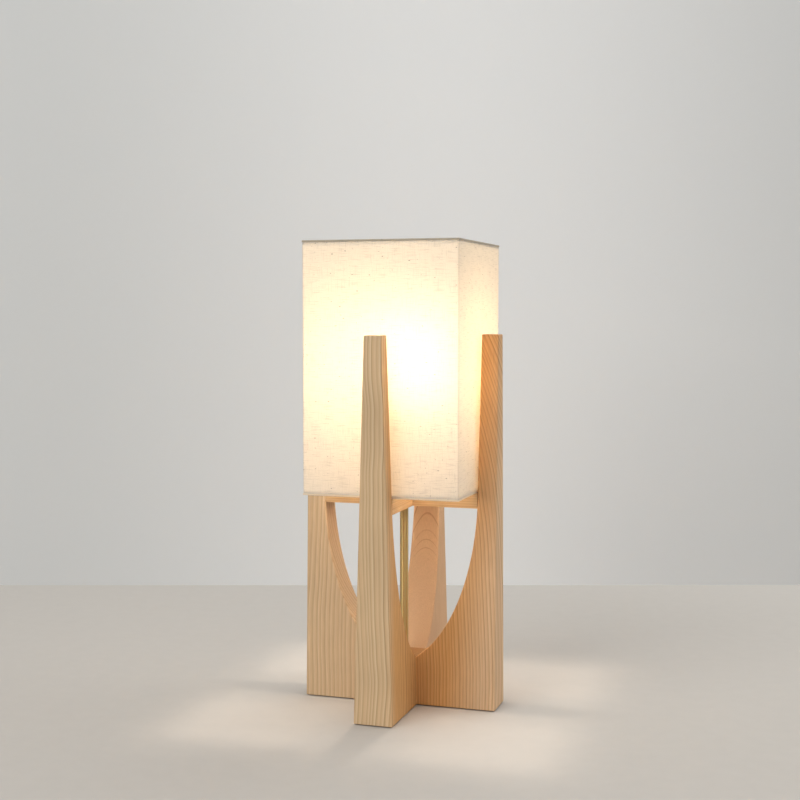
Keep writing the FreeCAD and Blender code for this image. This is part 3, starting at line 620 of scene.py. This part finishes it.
@dataclass(frozen=True)
class BackdropPaper:
    """Matt studio paper with a painted pool of light, palest behind the lamp and shaded towards its sides,
    that a view from behind looks through.

    Attributes:
        name: The material's name.
        pale: Colour of the painted pool of light, where it is palest.
        rim: Colour of the painted shade at its sides.
        along: Direction along the paper.
        middle: How far along it is palest.
        width: Width of the pale area.
    """

    name: str
    pale: str
    rim: str
    along: Vector
    middle: float
    width: float

    def build(self) -> Material:
        """Build the paper.

        Returns:
            The material.
        """
        material, tree = new_material(self.name)
        place = add(tree, "TexCoord").outputs["Object"]
        # Painted pool of light behind the lamp, fading to painted shade towards the sides.
        side = add(tree, "VectorMath", {0: place, 1: self.along}, operation="DOT_PRODUCT").outputs["Value"]
        off = add(tree, "Math", {0: side, 1: self.middle}, operation="SUBTRACT").outputs[0]
        away = add(tree, "Math", {0: off}, operation="ABSOLUTE").outputs[0]
        half = (0.0, self.width / 2)
        share = add(tree, "MapRange", {"Value": away}, span=half, interpolation_type="SMOOTHSTEP")
        tint = add(
            tree, "Mix", {"Factor": share.outputs[0], FIRST: linear(self.pale), SECOND: linear(self.rim)},
            data_type="RGBA",
        )
        paper = add(tree, "BsdfPrincipled", {"Base Color": tint.outputs[MIXED], "Roughness": 0.9})
        behind = add(tree, "NewGeometry").outputs["Backfacing"]
        gone = add(tree, "BsdfTransparent").outputs[0]
        both = add(tree, "MixShader", {0: behind, 1: paper.outputs[0], 2: gone})
        show(tree, both.outputs[0])
        return material


def finish_piece(name: str, shape: bmesh.types.BMesh, body: Body, finish: Material,
                 replaced: tuple[str, ...]) -> bpy.types.Object:
    """Turn a bmesh into a piece of the lamp, shaded smooth up to a crease.

    Args:
        name: The piece's name.
        shape: The mesh, which is freed.
        body: The moving part that it rides on.
        finish: Its material.
        replaced: The solids that it stands for.

    Returns:
        The new object.
    """
    bmesh.ops.recalc_face_normals(shape, faces=shape.faces)
    for face in shape.faces:
        face.smooth = True
    for edge in shape.edges:
        if len(edge.link_faces) == 2 and edge.calc_face_angle(0.0) > CREASE:
            edge.smooth = False
    mesh = bpy.data.meshes.new(name)
    shape.to_mesh(mesh)
    shape.free()
    piece = bpy.data.objects.new(name, mesh)
    bpy.context.scene.collection.objects.link(piece)
    mesh.materials.append(finish)
    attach(piece, body.value)
    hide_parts(*replaced)
    LOG.info("%s: %d faces, %s", name, len(mesh.polygons), finish.name)
    return piece


def dress(nodes: tuple[str, ...], finish: Material) -> None:
    """Give solids a finish in place of their plain one.

    Args:
        nodes: The solids' names.
        finish: The material.
    """
    for name in nodes:
        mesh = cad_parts[name].data
        mesh.materials.clear()
        mesh.materials.append(finish)
        LOG.info("%s: %s", name, finish.name)


def lathe(section: Section, closed: bool) -> bmesh.types.BMesh:
    """Turn a section about Z.

    Args:
        section: Points as (radius, height), in metres.
        closed: Whether the last point joins the first.

    Returns:
        The turned mesh.
    """
    shape = bmesh.new()
    points = [shape.verts.new((radius, 0.0, height)) for radius, height in section]
    pairs = list(zip(points, points[1:])) + ([(points[-1], points[0])] if closed else [])
    edges = [shape.edges.new(pair) for pair in pairs]
    bmesh.ops.spin(
        shape, geom=points + edges, axis=(0, 0, 1), cent=(0, 0, 0), angle=math.tau, steps=LATHE_STEPS,
        use_merge=True,
    )
    bmesh.ops.remove_doubles(shape, verts=shape.verts, dist=MERGE)
    return shape


def square_loop(shape: bmesh.types.BMesh, half: float, radius: float,
                height: float) -> list[bmesh.types.BMEdge]:
    """Add a level square loop with rounded corners to a mesh.

    Args:
        shape: The mesh.
        half: Half of the square's width.
        radius: The corners' radius.
        height: The loop's height.

    Returns:
        The loop's edges.
    """
    before = set(shape.edges)
    corners = bmesh.ops.create_grid(shape, x_segments=1, y_segments=1, size=half)["verts"]
    bmesh.ops.translate(shape, verts=corners, vec=(0, 0, height))
    bmesh.ops.bevel(
        shape, geom=corners, offset=radius, offset_type="OFFSET", affect="VERTICES", segments=CORNER_STEPS,
        profile=0.5, material=-1, clamp_overlap=False,
    )
    sides = [e for e in shape.edges if e not in before and e.calc_length() > half]
    bmesh.ops.subdivide_edges(shape, edges=sides, cuts=SIDE_CUTS)
    faces = list({f for e in shape.edges if e not in before for f in e.link_faces})
    bmesh.ops.delete(shape, geom=faces, context="FACES_ONLY")
    return [e for e in shape.edges if e not in before]


def square_skin(rows: list[Triple], closed: bool) -> bmesh.types.BMesh:
    """Bridge a stack of rounded square loops.

    Args:
        rows: For each loop its half width, corner radius and height.
        closed: Whether the last loop joins the first.

    Returns:
        The skinned mesh.
    """
    shape = bmesh.new()
    loops = [square_loop(shape, half, radius, height) for half, radius, height in rows]
    pairs = list(zip(loops, loops[1:])) + ([(loops[-1], loops[0])] if closed else [])
    for lower, upper in pairs:
        bmesh.ops.bridge_loops(shape, edges=lower + upper)
    return shape


@dataclass
class WoodFrame:
    """Four legs, the hub between them, the crossed rails, the tenons and the felt pads.

    Attributes:
        sides: The sides that the legs stand on.
        lying_x: The turn of a board that lies along X.
        lying_y: The turn of a board that lies along Y.
    """

    sides: tuple[str, ...] = ("front", "right", "back", "left")
    lying_x: Triple = (0.0, 90.0, 0.0)
    lying_y: Triple = (90.0, 0.0, 0.0)

    def build(self) -> None:
        """Dress each board, the tenons and the pads."""
        for node, wood in self.boards().items():
            dress((node,), wood.build())
        # Plain beech: a browner, closer wood, with rings that hardly show.
        beech = StraightGrainWood(
            "plain_beech", (0.2, 0.3), pale="#C9A57E", middle="#BE9870", late="#B08860",
        )
        dress(tuple(f"hub_tenon_{side}" for side in self.sides), beech.build())
        # Pressed wool felt: dark, mottled and woolly, with no gloss at all.
        felt = Plain("brown_felt", "#4A4038", 0.95, grit_mm=0.8, uneven=0.4, bump_mm=0.2)
        dress(tuple(f"foot_pad_{side}" for side in self.sides), felt.build())

    def boards(self) -> dict[str, StraightGrainWood]:
        """Choose where in the tree each board was sawn, and so which grain its faces show.

        Returns:
            The wood of each board, by the board's name.
        """
        rail_colours = {"pale": "#D6B387", "middle": "#CAA375", "late": "#B98E60"}
        return {
            # Pale cypress with broad, wandering rings, and a warmer heartwood tint on its right side,
            # partly heartwood and partly painted warm bounce light from the glowing shade and the right leg.
            "leg_front": StraightGrainWood(
                "cypress_front_leg", (0.210, 0.060), ring_mm=3.6, sway_mm=7.0, sway_rate=6.0, weather=1.5,
                heart_glow_reach=0.262, heart_glow_fade=0.016, heart_glow_tint="#FFE6C0",
                pale="#E1C6A0", middle="#D6B48B", late="#B8936A",
            ),
            # Cypress with broad rings that bend over as they rise, and a warmer, darker heartwood tint that
            # widens upwards: partly heartwood, partly painted warm glow from the shade near the top
            # and painted shade beside the hub at the foot.
            "leg_right": StraightGrainWood(
                "cypress_right_leg", (-0.250, -0.120), ring_mm=3.8, sway_mm=5.0, sway_rate=6.0, weather=1.5,
                lean=0.8, heart_glow_reach=0.360, heart_glow_rise=0.11, heart_glow_fade=0.040, heart_glow_tint="#FCE2B6",
                pale="#E6C49C", middle="#DAB289", late="#BA9067",
            ),
            # Cypress that is even near the foot, and has thin, dark, close rings above.
            "leg_back": StraightGrainWood(
                "cypress_back_leg", (0.003, 0.045), ring_mm=2.0, clear_below=0.165, rise=0.8, peak=0.92,
                pale="#CEA67F", middle="#CEA67F", late="#96683F",
            ),
            # Cypress with wide, soft rings.
            "leg_left": StraightGrainWood(
                "cypress_left_leg", (-0.330, 0.210), ring_mm=4.0, sway_mm=6.0, sway_rate=5.0, weather=1.5,
                pale="#DCBF9A", middle="#D1B089", late="#BD9A73",
            ),
            # A darker, more orange block of the same wood; its darkness is partly its own tone
            # and partly painted shade of the crossing between the legs.
            "hub_block": StraightGrainWood(
                "cypress_hub", (0.150, 0.160), pale="#C69258", middle="#B9834A", late="#9C6A38",
            ),
            # Two warm, plain boards, with the grain along them.
            "rail_left_right": StraightGrainWood(
                "cypress_long_rail", (0.100, 0.130), tilt=self.lying_x, **rail_colours,
            ),
            "rail_front_back": StraightGrainWood(
                "cypress_cross_rail", (0.130, 0.100), tilt=self.lying_y, **rail_colours,
            ),
        }


@dataclass
class Fittings:
    """Stem, nuts, washers, wiring cover and cord gland.

    Attributes:
        wall: Wall of the stem's tube.
        edge: Bevel at the ends of the stem.
    """

    wall: float = 1.0 * MM
    edge: float = 0.4 * MM

    def build(self) -> None:
        """Turn the stem and dress the hidden fittings."""
        # Polished brass tube: warm yellow, darker at its sides, with a bright streak along it.
        brass = Plain(
            "polished_brass", "#D3B87E", 0.42, metallic=1.0, grit_mm=1.2, uneven=0.1, drawn=60.0, buffed=1.0,
        ).build()
        shape = lathe(self.stem_section(), True)
        finish_piece("brass_stem", shape, Body.FRAME, brass, ("stem_tube",))
        dress(("lampholder_screw_shell", "lampholder_contact"), brass)
        # Zinc-plated steel: cool grey, half bright and slightly blotched.
        zinc = Plain("zinc_plated_steel", "#B9BABB", 0.35, metallic=1.0, grit_mm=0.8)
        dress(
            ("stem_foot_washer", "stem_foot_nut", "rail_washer", "rail_nut", "holder_lock_nut",
             "base_cover_screws", "lampholder_terminal_screws"),
            zinc.build(),
        )
        # Pressed fibre board: nearly black, matt, with a speckled surface.
        fibre_board = Plain("black_fibre_board", "#2A2622", 0.8, grit_mm=1.0, uneven=0.3)
        dress(("base_cover",), fibre_board.build())
        # Moulded rubber: black with a soft, dull shine.
        rubber = Plain("black_rubber", "#1C1B1A", 0.6, grit_mm=1.0)
        dress(("cord_gland",), rubber.build())

    def stem_section(self) -> Section:
        """The stem: a tube with its outer edges broken.

        Returns:
            Points as (radius, height).
        """
        low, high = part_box("stem_tube")
        outer, inner = high.x, high.x - self.wall
        return [
            (inner, low.z), (outer - self.edge, low.z), (outer, low.z + self.edge),
            (outer, high.z - self.edge), (outer - self.edge, high.z), (inner, high.z),
        ]


@dataclass
class Lampholder:
    """Black moulded lampholder with its porcelain core: a coned cap and a grooved skirt screwed on it.

    Attributes:
        wall: Wall of the cap and of the skirt.
        seam: Depth of the groove where the two meet.
        clearance: Gap between the stem and the cap's bore.
        boss: Radius of the cap's boss on the stem.
        boss_height: Height of the boss outside.
        boss_depth: Height of the boss inside.
        cone_height: Height of the cone above it.
        core_depth: Depth of the seat of the porcelain core.
        ledge: Width of the ledge that the core stands on.
        soften: Size of the cone's softened corners.
        groove: Depth of a grip groove.
        groove_gap: Distance between two grooves.
        grooves: Number of grooves.
        lip: Thickness of the lip round the bulb.
        lip_steps: Faces round the lip's outer edge.
        mouth: Width of the lip.
    """

    wall: float = 2.0 * MM
    seam: float = 0.6 * MM
    clearance: float = 0.05 * MM
    boss: float = 8.0 * MM
    boss_height: float = 6.0 * MM
    boss_depth: float = 9.0 * MM
    cone_height: float = 8.0 * MM
    core_depth: float = 10.0 * MM
    ledge: float = 3.5 * MM
    soften: float = 1.2 * MM
    groove: float = 0.5 * MM
    groove_gap: float = 3.0 * MM
    grooves: int = 4
    lip: float = 2.0 * MM
    lip_steps: int = 5
    mouth: float = 4.0 * MM

    def build(self) -> None:
        """Turn the cap and the skirt and dress the core."""
        # Moulded phenolic: black and half glossy, as it leaves a polished mould.
        phenolic = Plain("black_phenolic", "#232221", 0.35, grit_mm=0.7).build()
        for name, section in (("cap", self.cap_section()), ("skirt", self.skirt_section())):
            shape = lathe(section, True)
            finish_piece(f"holder_{name}", shape, Body.FRAME, phenolic, (f"lampholder_{name}",))
        # Glazed porcelain: warm white under a smooth, glassy coat.
        porcelain = Plain("glazed_porcelain", "#E6E1D8", 0.2, grit_mm=4.0, uneven=0.04)
        dress(("lampholder_core",), porcelain.build())

    def cap_section(self) -> Section:
        """The cap: a boss on the stem, a cone with softened corners and a straight cup.

        Returns:
            Points as (radius, height).
        """
        low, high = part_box("lampholder_cap")
        out, inside = high.x, high.x - self.wall
        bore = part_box("stem_tube")[1].x + self.clearance
        foot, top = low.z + self.boss_height, low.z + self.boss_height + self.cone_height
        slope = self.cone_height / (out - self.boss)
        near, far = self.soften, 2 * self.soften
        seat = high.z - self.core_depth
        return [
            (bore, low.z), (self.boss - near / 2, low.z), (self.boss, low.z + near / 2),
            (self.boss, foot - near), (self.boss + near / 4, foot), (self.boss + near, foot + slope * near),
            (out - far, top - slope * far), (out - near / 2, top - slope * near / 4), (out, top + near),
            (out, high.z - 2 * self.seam), (out - self.seam, high.z - self.seam), (out - self.seam, high.z),
            (inside, high.z), (inside, seat), (inside - self.ledge, seat),
            (inside - self.ledge, top), (self.boss, low.z + self.boss_depth), (bore, low.z + self.boss_depth),
        ]

    def skirt_section(self) -> Section:
        """The skirt: a seam above the cap, grip grooves and a rounded lip round the bulb.

        Returns:
            Points as (radius, height).
        """
        low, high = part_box("lampholder_skirt")
        out, inside = high.x, high.x - self.wall
        section = [
            (out - self.seam, low.z), (out - self.seam, low.z + self.seam), (out, low.z + 2 * self.seam),
        ]
        for count in range(1, self.grooves + 1):
            at = low.z + count * self.groove_gap
            section += [
                (out, at - self.groove), (out - self.groove, at), (out - self.groove, at + self.groove),
                (out, at + 2 * self.groove),
            ]
        bend = self.mouth / 2
        for step in range(self.lip_steps + 1):
            angle = math.radians(90 * step / self.lip_steps)
            section.append((out - bend * (1 - math.cos(angle)), high.z - bend * (1 - math.sin(angle))))
        return section + [
            (out - self.mouth, high.z), (out - self.mouth, high.z - self.lip), (inside, high.z - self.lip),
            (inside, low.z),
        ]


@dataclass
class Bulb:
    """Screw-in opal bulb, lit, on a thin metal cap with a rolled thread.

    Attributes:
        crown_steps: Faces from the neck to the top of the glass.
        flare: Degrees above the level of the glass's middle at which its round part starts.
        neck_gap: Gap between the glass and the outside of the cap.
        watts: Power of the light.
        light_share: Size of the light, as a share of the glass.
        pitch: Rise of the thread for each turn.
        turns: Turns of the thread.
        ridge: Depth of the thread.
        ridge_steps: Points along the section of one turn.
        metal: Thickness of the cap's metal.
        flange: Radius of the opening in the foot of the cap.
    """

    crown_steps: int = 20
    flare: float = -22.0
    neck_gap: float = 0.5 * MM
    watts: float = 4.4
    light_share: float = 0.9
    pitch: float = 3.629 * MM
    turns: int = 3
    ridge: float = 0.7 * MM
    ridge_steps: int = 8
    metal: float = 0.4 * MM
    flange: float = 9.0 * MM

    def build(self) -> None:
        """Turn the glass and the cap, light the bulb and dress its other pieces."""
        opal = LitOpalGlass("lit_opal_glass")
        shape = lathe(self.glass_section(), False)
        glass = finish_piece(
            "opal_bulb", shape, Body.BULB_TOP, opal.build(), ("bulb_glass",)
        )
        glass.visible_shadow = False
        self.add_light(opal.glow)
        # Rolled aluminium: pale grey metal with a soft shine.
        aluminium = Plain("bulb_aluminium", "#C9C8C4", 0.3, metallic=1.0).build()
        shape = lathe(self.cap_section(), True)
        finish_piece("threaded_cap", shape, Body.BULB_FOOT, aluminium, ("bulb_cap",))
        dress(("bulb_contact",), aluminium)
        # Pressed black glass: deep black with sharp highlights.
        dress(("bulb_insulator",), Plain("black_bulb_glass", "#151515", 0.15).build())
        # Drawn glass: pale greenish grey, very smooth.
        dress(("bulb_mount",), Plain("clear_mount_glass", "#DDE2E0", 0.1, uneven=0.03).build())
        # Filament in its phosphor coat: a dull yellow stick.
        dress(("bulb_filaments",), Plain("yellow_filament", "#F2C25A", 0.5).build())

    def add_light(self, glow: str) -> None:
        """Put the lamp that lights the shade in the middle of the glass.

        Args:
            glow: The light's colour.
        """
        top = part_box("bulb_glass")[1]
        light = bpy.data.lights.new("bulb_light", "POINT")
        light.energy = self.watts
        light.color = linear(glow)[:3]
        light.shadow_soft_size = self.light_share * top.x
        light.cycles.use_multiple_importance_sampling = False
        lamp = bpy.data.objects.new("bulb_light", light)
        lamp.location = (0.0, 0.0, top.z - top.x)
        bpy.context.scene.collection.objects.link(lamp)

    def glass_section(self) -> Section:
        """The glass: a closed foot, a straight neck in the cap and a round crown.

        Returns:
            Points as (radius, height).
        """
        low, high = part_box("bulb_glass")
        cap_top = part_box("bulb_cap")[1]
        radius, neck = high.x, cap_top.x - self.neck_gap
        middle = high.z - radius
        start = math.radians(self.flare)
        sweep = math.pi / 2 - start
        angles = [start + sweep * step / self.crown_steps for step in range(self.crown_steps)]
        crown = [(radius * math.cos(angle), middle + radius * math.sin(angle)) for angle in angles]
        return [(0.0, low.z), (neck, low.z), (neck, cap_top.z), *crown, (0.0, high.z)]

    def cap_section(self) -> Section:
        """The cap: a flange, the ridges of its thread, drawn as rings, and a collar round the neck.

        Returns:
            Points as (radius, height).
        """
        low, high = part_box("bulb_cap")
        out, collar = high.x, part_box("bulb_glass")[0].z
        start = collar - self.turns * self.pitch
        deep = out - self.ridge - self.metal
        section = [(self.flange, low.z), (deep, low.z)]
        for step in range(self.turns * self.ridge_steps):
            wave = (1 - math.cos(math.tau * step / self.ridge_steps)) / 2
            section.append((out - self.ridge * (1 - wave), start + self.pitch * step / self.ridge_steps))
        return section + [
            (out - self.ridge, collar), (out, collar + self.ridge), (out, high.z), (out - self.metal, high.z),
            (out - self.metal, collar + self.ridge), (deep - self.metal, collar), (deep - self.metal, start),
            (self.flange, low.z + self.metal),
        ]


@dataclass
class Shade:
    """Square linen shade on a wire frame, with a hem rolled over its top and bottom wires.

    Attributes:
        corner: Radius of the shade's corners.
        row: Height of a row of the cloth's faces.
        wave: Depth of the cloth's unevenness.
        wave_length: Length of the cloth's unevenness.
        backing: Thickness of the linen with its backing.
        turned: Width of linen that is turned in at the top and the bottom.
        hem: Depth of a hem.
        hem_width: Width of a hem, from its outer to its inner side.
        tuck: How far a hem's outer edge is tucked in.
        flat: Where the straight part of a hem's outer side starts, as a share of its depth.
        roll: The hem's rolled edge up to its crest: inset in millimetres, and share of the hem's depth.
        least_corner: Smallest radius of a hem's corners.
        overlap: Width of linen that overlaps at the seam. Not used.
        fold: Width of linen that is folded round each wire. Not used.
    """

    corner: float = 1.6 * MM
    row: float = 6.0 * MM
    wave: float = 0.35 * MM
    wave_length: float = 70.0 * MM
    backing: float = 0.9 * MM
    turned: float = 7.0 * MM
    hem: float = 2.2 * MM
    hem_width: float = 4.2 * MM
    tuck: float = 0.25 * MM
    flat: float = 0.8
    roll: tuple[tuple[float, float], ...] = ((0.0, 0.35), (0.3, 0.14), (1.0, 0.04))
    least_corner: float = 0.6 * MM
    overlap: float = 15.0 * MM
    fold: float = 6.0 * MM

    def build(self) -> None:
        """Build the cloth, its two hems and the wires that carry it."""
        cloth = self.build_cloth()
        hems = self.build_hems()
        # Painted steel wire: cream, even and half matt.
        wire = Plain("painted_wire", "#D8D2C6", 0.5, grit_mm=1.5)
        dress(("shade_top_wire", "shade_bottom_wire"), wire.build())

    def build_cloth(self) -> bpy.types.Object:
        """Build the linen wall with its translucent backing.

        Returns:
            The cloth.
        """
        low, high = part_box("shade_linen")
        count = round((high.z - low.z) / self.row)
        heights = [low.z + (high.z - low.z) * i / count for i in range(count + 1)]
        shape = square_skin([(high.x, self.corner, height) for height in heights], False)
        for vert in shape.verts:
            ripple = noise.noise(vert.co / self.wave_length)
            outward = Vector((vert.co.x, vert.co.y, 0)).normalized()
            vert.co -= outward * self.wave * (1 + ripple) / 2
        # Natural linen: pale, with grey slubs and flecks, painted shade along its corner folds and hem bands,
        # glowing from inside.
        linen = Linen(
            "natural_linen", fold_from=high.x - self.corner,
            hem_from=(low.z + self.turned, high.z - self.turned),
        )
        cloth = finish_piece(
            "linen_wall", shape, Body.SHADE, linen.build(), ("shade_linen", "shade_liner")
        )
        # Fleece backing: whiter and more even than the linen, and clearer to the light.
        backing = Linen(
            "translucent_backing", cloth="#F4F4F3", slub_and_shade="#E6E2DA", fleck="#DDD4C6", through=0.55
        )
        cloth.data.materials.append(backing.build())
        thick = cloth.modifiers.new("backing", "SOLIDIFY")
        thick.thickness = self.backing
        thick.offset = -1.0
        thick.material_offset = 1
        return cloth

    def build_hems(self) -> list[bpy.types.Object]:
        """Build the rolled linen along the top and bottom edges.

        Returns:
            The two hems.
        """
        # Several layers of linen, painted greyer and browner than the wall as painted shade, because little
        # light comes through them.
        rolled = Linen("top_hem_linen_painted_shade", cloth="#D3C6B2", slub_and_shade="#857A6C", through=0.25).build()
        # The bottom hem's linen: the same cloth painted a paler cream, as painted light from below.
        bottom_hem_painted_light = Linen("bottom_hem_linen_painted_light", cloth="#FAE9D0", slub_and_shade="#D3BFA2", through=0.12).build()
        hems = []
        for name, node, up, linen in (
            ("top_hem", "shade_top_hem", 1, rolled), ("bottom_hem", "shade_bottom_hem", -1, bottom_hem_painted_light),
        ):
            low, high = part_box(node)
            edge = high.z if up > 0 else low.z
            rows = [
                (high.x - inset, max(self.corner - inset, self.least_corner), edge - up * drop)
                for inset, drop in self.hem_section()
            ]
            shape = square_skin(rows, True)
            hems.append(finish_piece(name, shape, Body.SHADE, linen, (node,)))
        return hems

    def hem_section(self) -> Section:
        """A hem: its tucked outer edge, its flat outer side, the rolled edge and its inner side.

        Returns:
            Points as (inset from the outer side, drop from the crest).
        """
        rise = [(inset * MM, share * self.hem) for inset, share in self.roll]
        fall = [(self.hem_width - inset, drop) for inset, drop in reversed(rise)]
        return [
            (self.tuck, self.hem), (0.0, self.flat * self.hem), *rise, (self.hem_width / 2, 0.0), *fall,
            (self.hem_width, self.hem),
        ]


@dataclass(frozen=True)
class Panel:
    """A soft light.

    Attributes:
        name: Its name.
        spot: Its place.
        size: Its width in metres.
        watts: Its power.
    """

    name: str
    spot: Triple
    size: float
    watts: float


@dataclass
class Studio:
    """Pale floor and wall, soft light and the camera of the reference view.

    Attributes:
        eye: The camera's place.
        gaze: The direction that it looks in.
        lens_mm: Its focal length.
        sensor_mm: The width of its sensor.
        shift: How far its frame is shifted sideways.
        wall_distance: How far the wall stands behind the lamp.
        reach: Half of the width of the floor and of the wall.
        paper: The colour of the wall's painted pool of light, and of the painted shade at its sides.
        palest: How far to the right of the lamp the wall's painted pool of light is palest.
        pale_width: Width of the wall's painted pool of light.
        fill: Strength of the light from all round.
        backdrop: Strength of the surroundings where they are seen, also in metal and glass.
        surroundings: Colour of the light from all round.
        daylight: Colour of the panels.
        aim: The place that the panels point at.
        panels: The soft lights.
    """

    eye: Triple = (0.4798, -1.5152, 0.4607)
    gaze: Triple = (-0.3013, 0.9513, -0.0655)
    lens_mm: float = 61.03
    sensor_mm: float = 36.0
    shift: float = -0.0051
    wall_distance: float = 0.67
    reach: float = 6.0
    paper: tuple[str, str] = ("#F2F2F2", "#D9D9D8")
    palest: float = 0.10
    pale_width: float = 1.5
    fill: float = 0.50
    backdrop: float = 0.75
    surroundings: str = "#FFFFFF"
    daylight: str = "#FAFFFF"
    aim: Triple = (0.0, 0.0, 0.25)
    panels: tuple[Panel, ...] = (
        Panel("left_panel", (-1.2, -2.6, 2.1), 2.2, 46.0),
        Panel("right_panel", (2.4, 0.9, 1.4), 1.4, 12.0),
        Panel("rear_panel", (0.5, 1.6, 1.9), 2.0, 17.0),
    )

    def build(self) -> None:
        """Build the stage, the lights and the camera."""
        self.build_stage()
        self.build_surroundings()
        self.build_panels()
        self.build_camera()

    def build_stage(self) -> None:
        """Build a floor, and a wall that stands square to the view and throws no shadow."""
        # Painted floor: pale, matt and almost even.
        floor = Plain("pale_floor", "#CAC3BB", 0.85, grit_mm=20.0, uneven=0.02).build()
        right = Vector((self.gaze[1], -self.gaze[0], 0)).normalized()
        wall = BackdropPaper("pale_paper", *self.paper, right, self.palest, self.pale_width).build()
        for name, finish in (("floor", floor), ("wall", wall)):
            shape = bmesh.new()
            bmesh.ops.create_grid(shape, x_segments=1, y_segments=1, size=self.reach)
            if name == "wall":
                away = Vector((self.gaze[0], self.gaze[1], 0)).normalized()
                turn = away.to_track_quat("-Z", "Y").to_matrix()
                bmesh.ops.transform(shape, matrix=turn.to_4x4(), verts=shape.verts)
                bmesh.ops.translate(shape, vec=away * self.wall_distance, verts=shape.verts)
            mesh = bpy.data.meshes.new(name)
            shape.to_mesh(mesh)
            shape.free()
            plate = bpy.data.objects.new(name, mesh)
            bpy.context.scene.collection.objects.link(plate)
            mesh.materials.append(finish)
            plate.visible_diffuse = name == "floor"
            plate.visible_shadow = name == "floor"

    def build_surroundings(self) -> None:
        """Light the lamp from all round, and show paler surroundings where they are seen."""
        world = bpy.data.worlds.new("soft_room")
        bpy.context.scene.world = world
        world.use_nodes = True
        tree = world.node_tree
        ray = add(tree, "LightPath").outputs
        seen = ray["Is Camera Ray"]
        for kind in ("Is Glossy Ray", "Is Transmission Ray"):
            seen = add(tree, "Math", {0: seen, 1: ray[kind]}, operation="MAXIMUM").outputs[0]
        level = add(tree, "MapRange", {"Value": seen}, onto=(self.fill, self.backdrop))
        background = tree.nodes["Background"].inputs
        tree.links.new(level.outputs[0], background["Strength"])
        background["Color"].default_value = linear(self.surroundings)

    def build_panels(self) -> None:
        """Hang the soft lights and turn them to the lamp."""
        for panel in self.panels:
            light = bpy.data.lights.new(panel.name, "AREA")
            light.size = panel.size
            light.energy = panel.watts
            light.color = linear(self.daylight)[:3]
            hung = bpy.data.objects.new(panel.name, light)
            hung.location = panel.spot
            toward = Vector(self.aim) - Vector(panel.spot)
            hung.rotation_euler = toward.to_track_quat("-Z", "Y").to_euler()
            bpy.context.scene.collection.objects.link(hung)

    def build_camera(self) -> None:
        """Place the camera."""
        data = bpy.data.cameras.new("view")
        data.lens = self.lens_mm
        data.sensor_width = self.sensor_mm
        data.shift_x = self.shift
        camera = bpy.data.objects.new("view", data)
        camera.location = self.eye
        camera.rotation_euler = Vector(self.gaze).to_track_quat("-Z", "Y").to_euler()
        bpy.context.scene.collection.objects.link(camera)
        bpy.context.scene.camera = camera


def main() -> None:
    """Build every sub-assembly, the stage and the view."""
    logging.basicConfig(level=logging.INFO, format="%(name)s: %(message)s")
    bpy.context.scene.view_settings.view_transform = "Standard"
    for assembly in (Studio(), WoodFrame(), Fittings(), Lampholder(), Bulb(), Shade()):
        LOG.info("building %s", type(assembly).__name__)
        assembly.build()


if __name__ == "__main__":
    main()
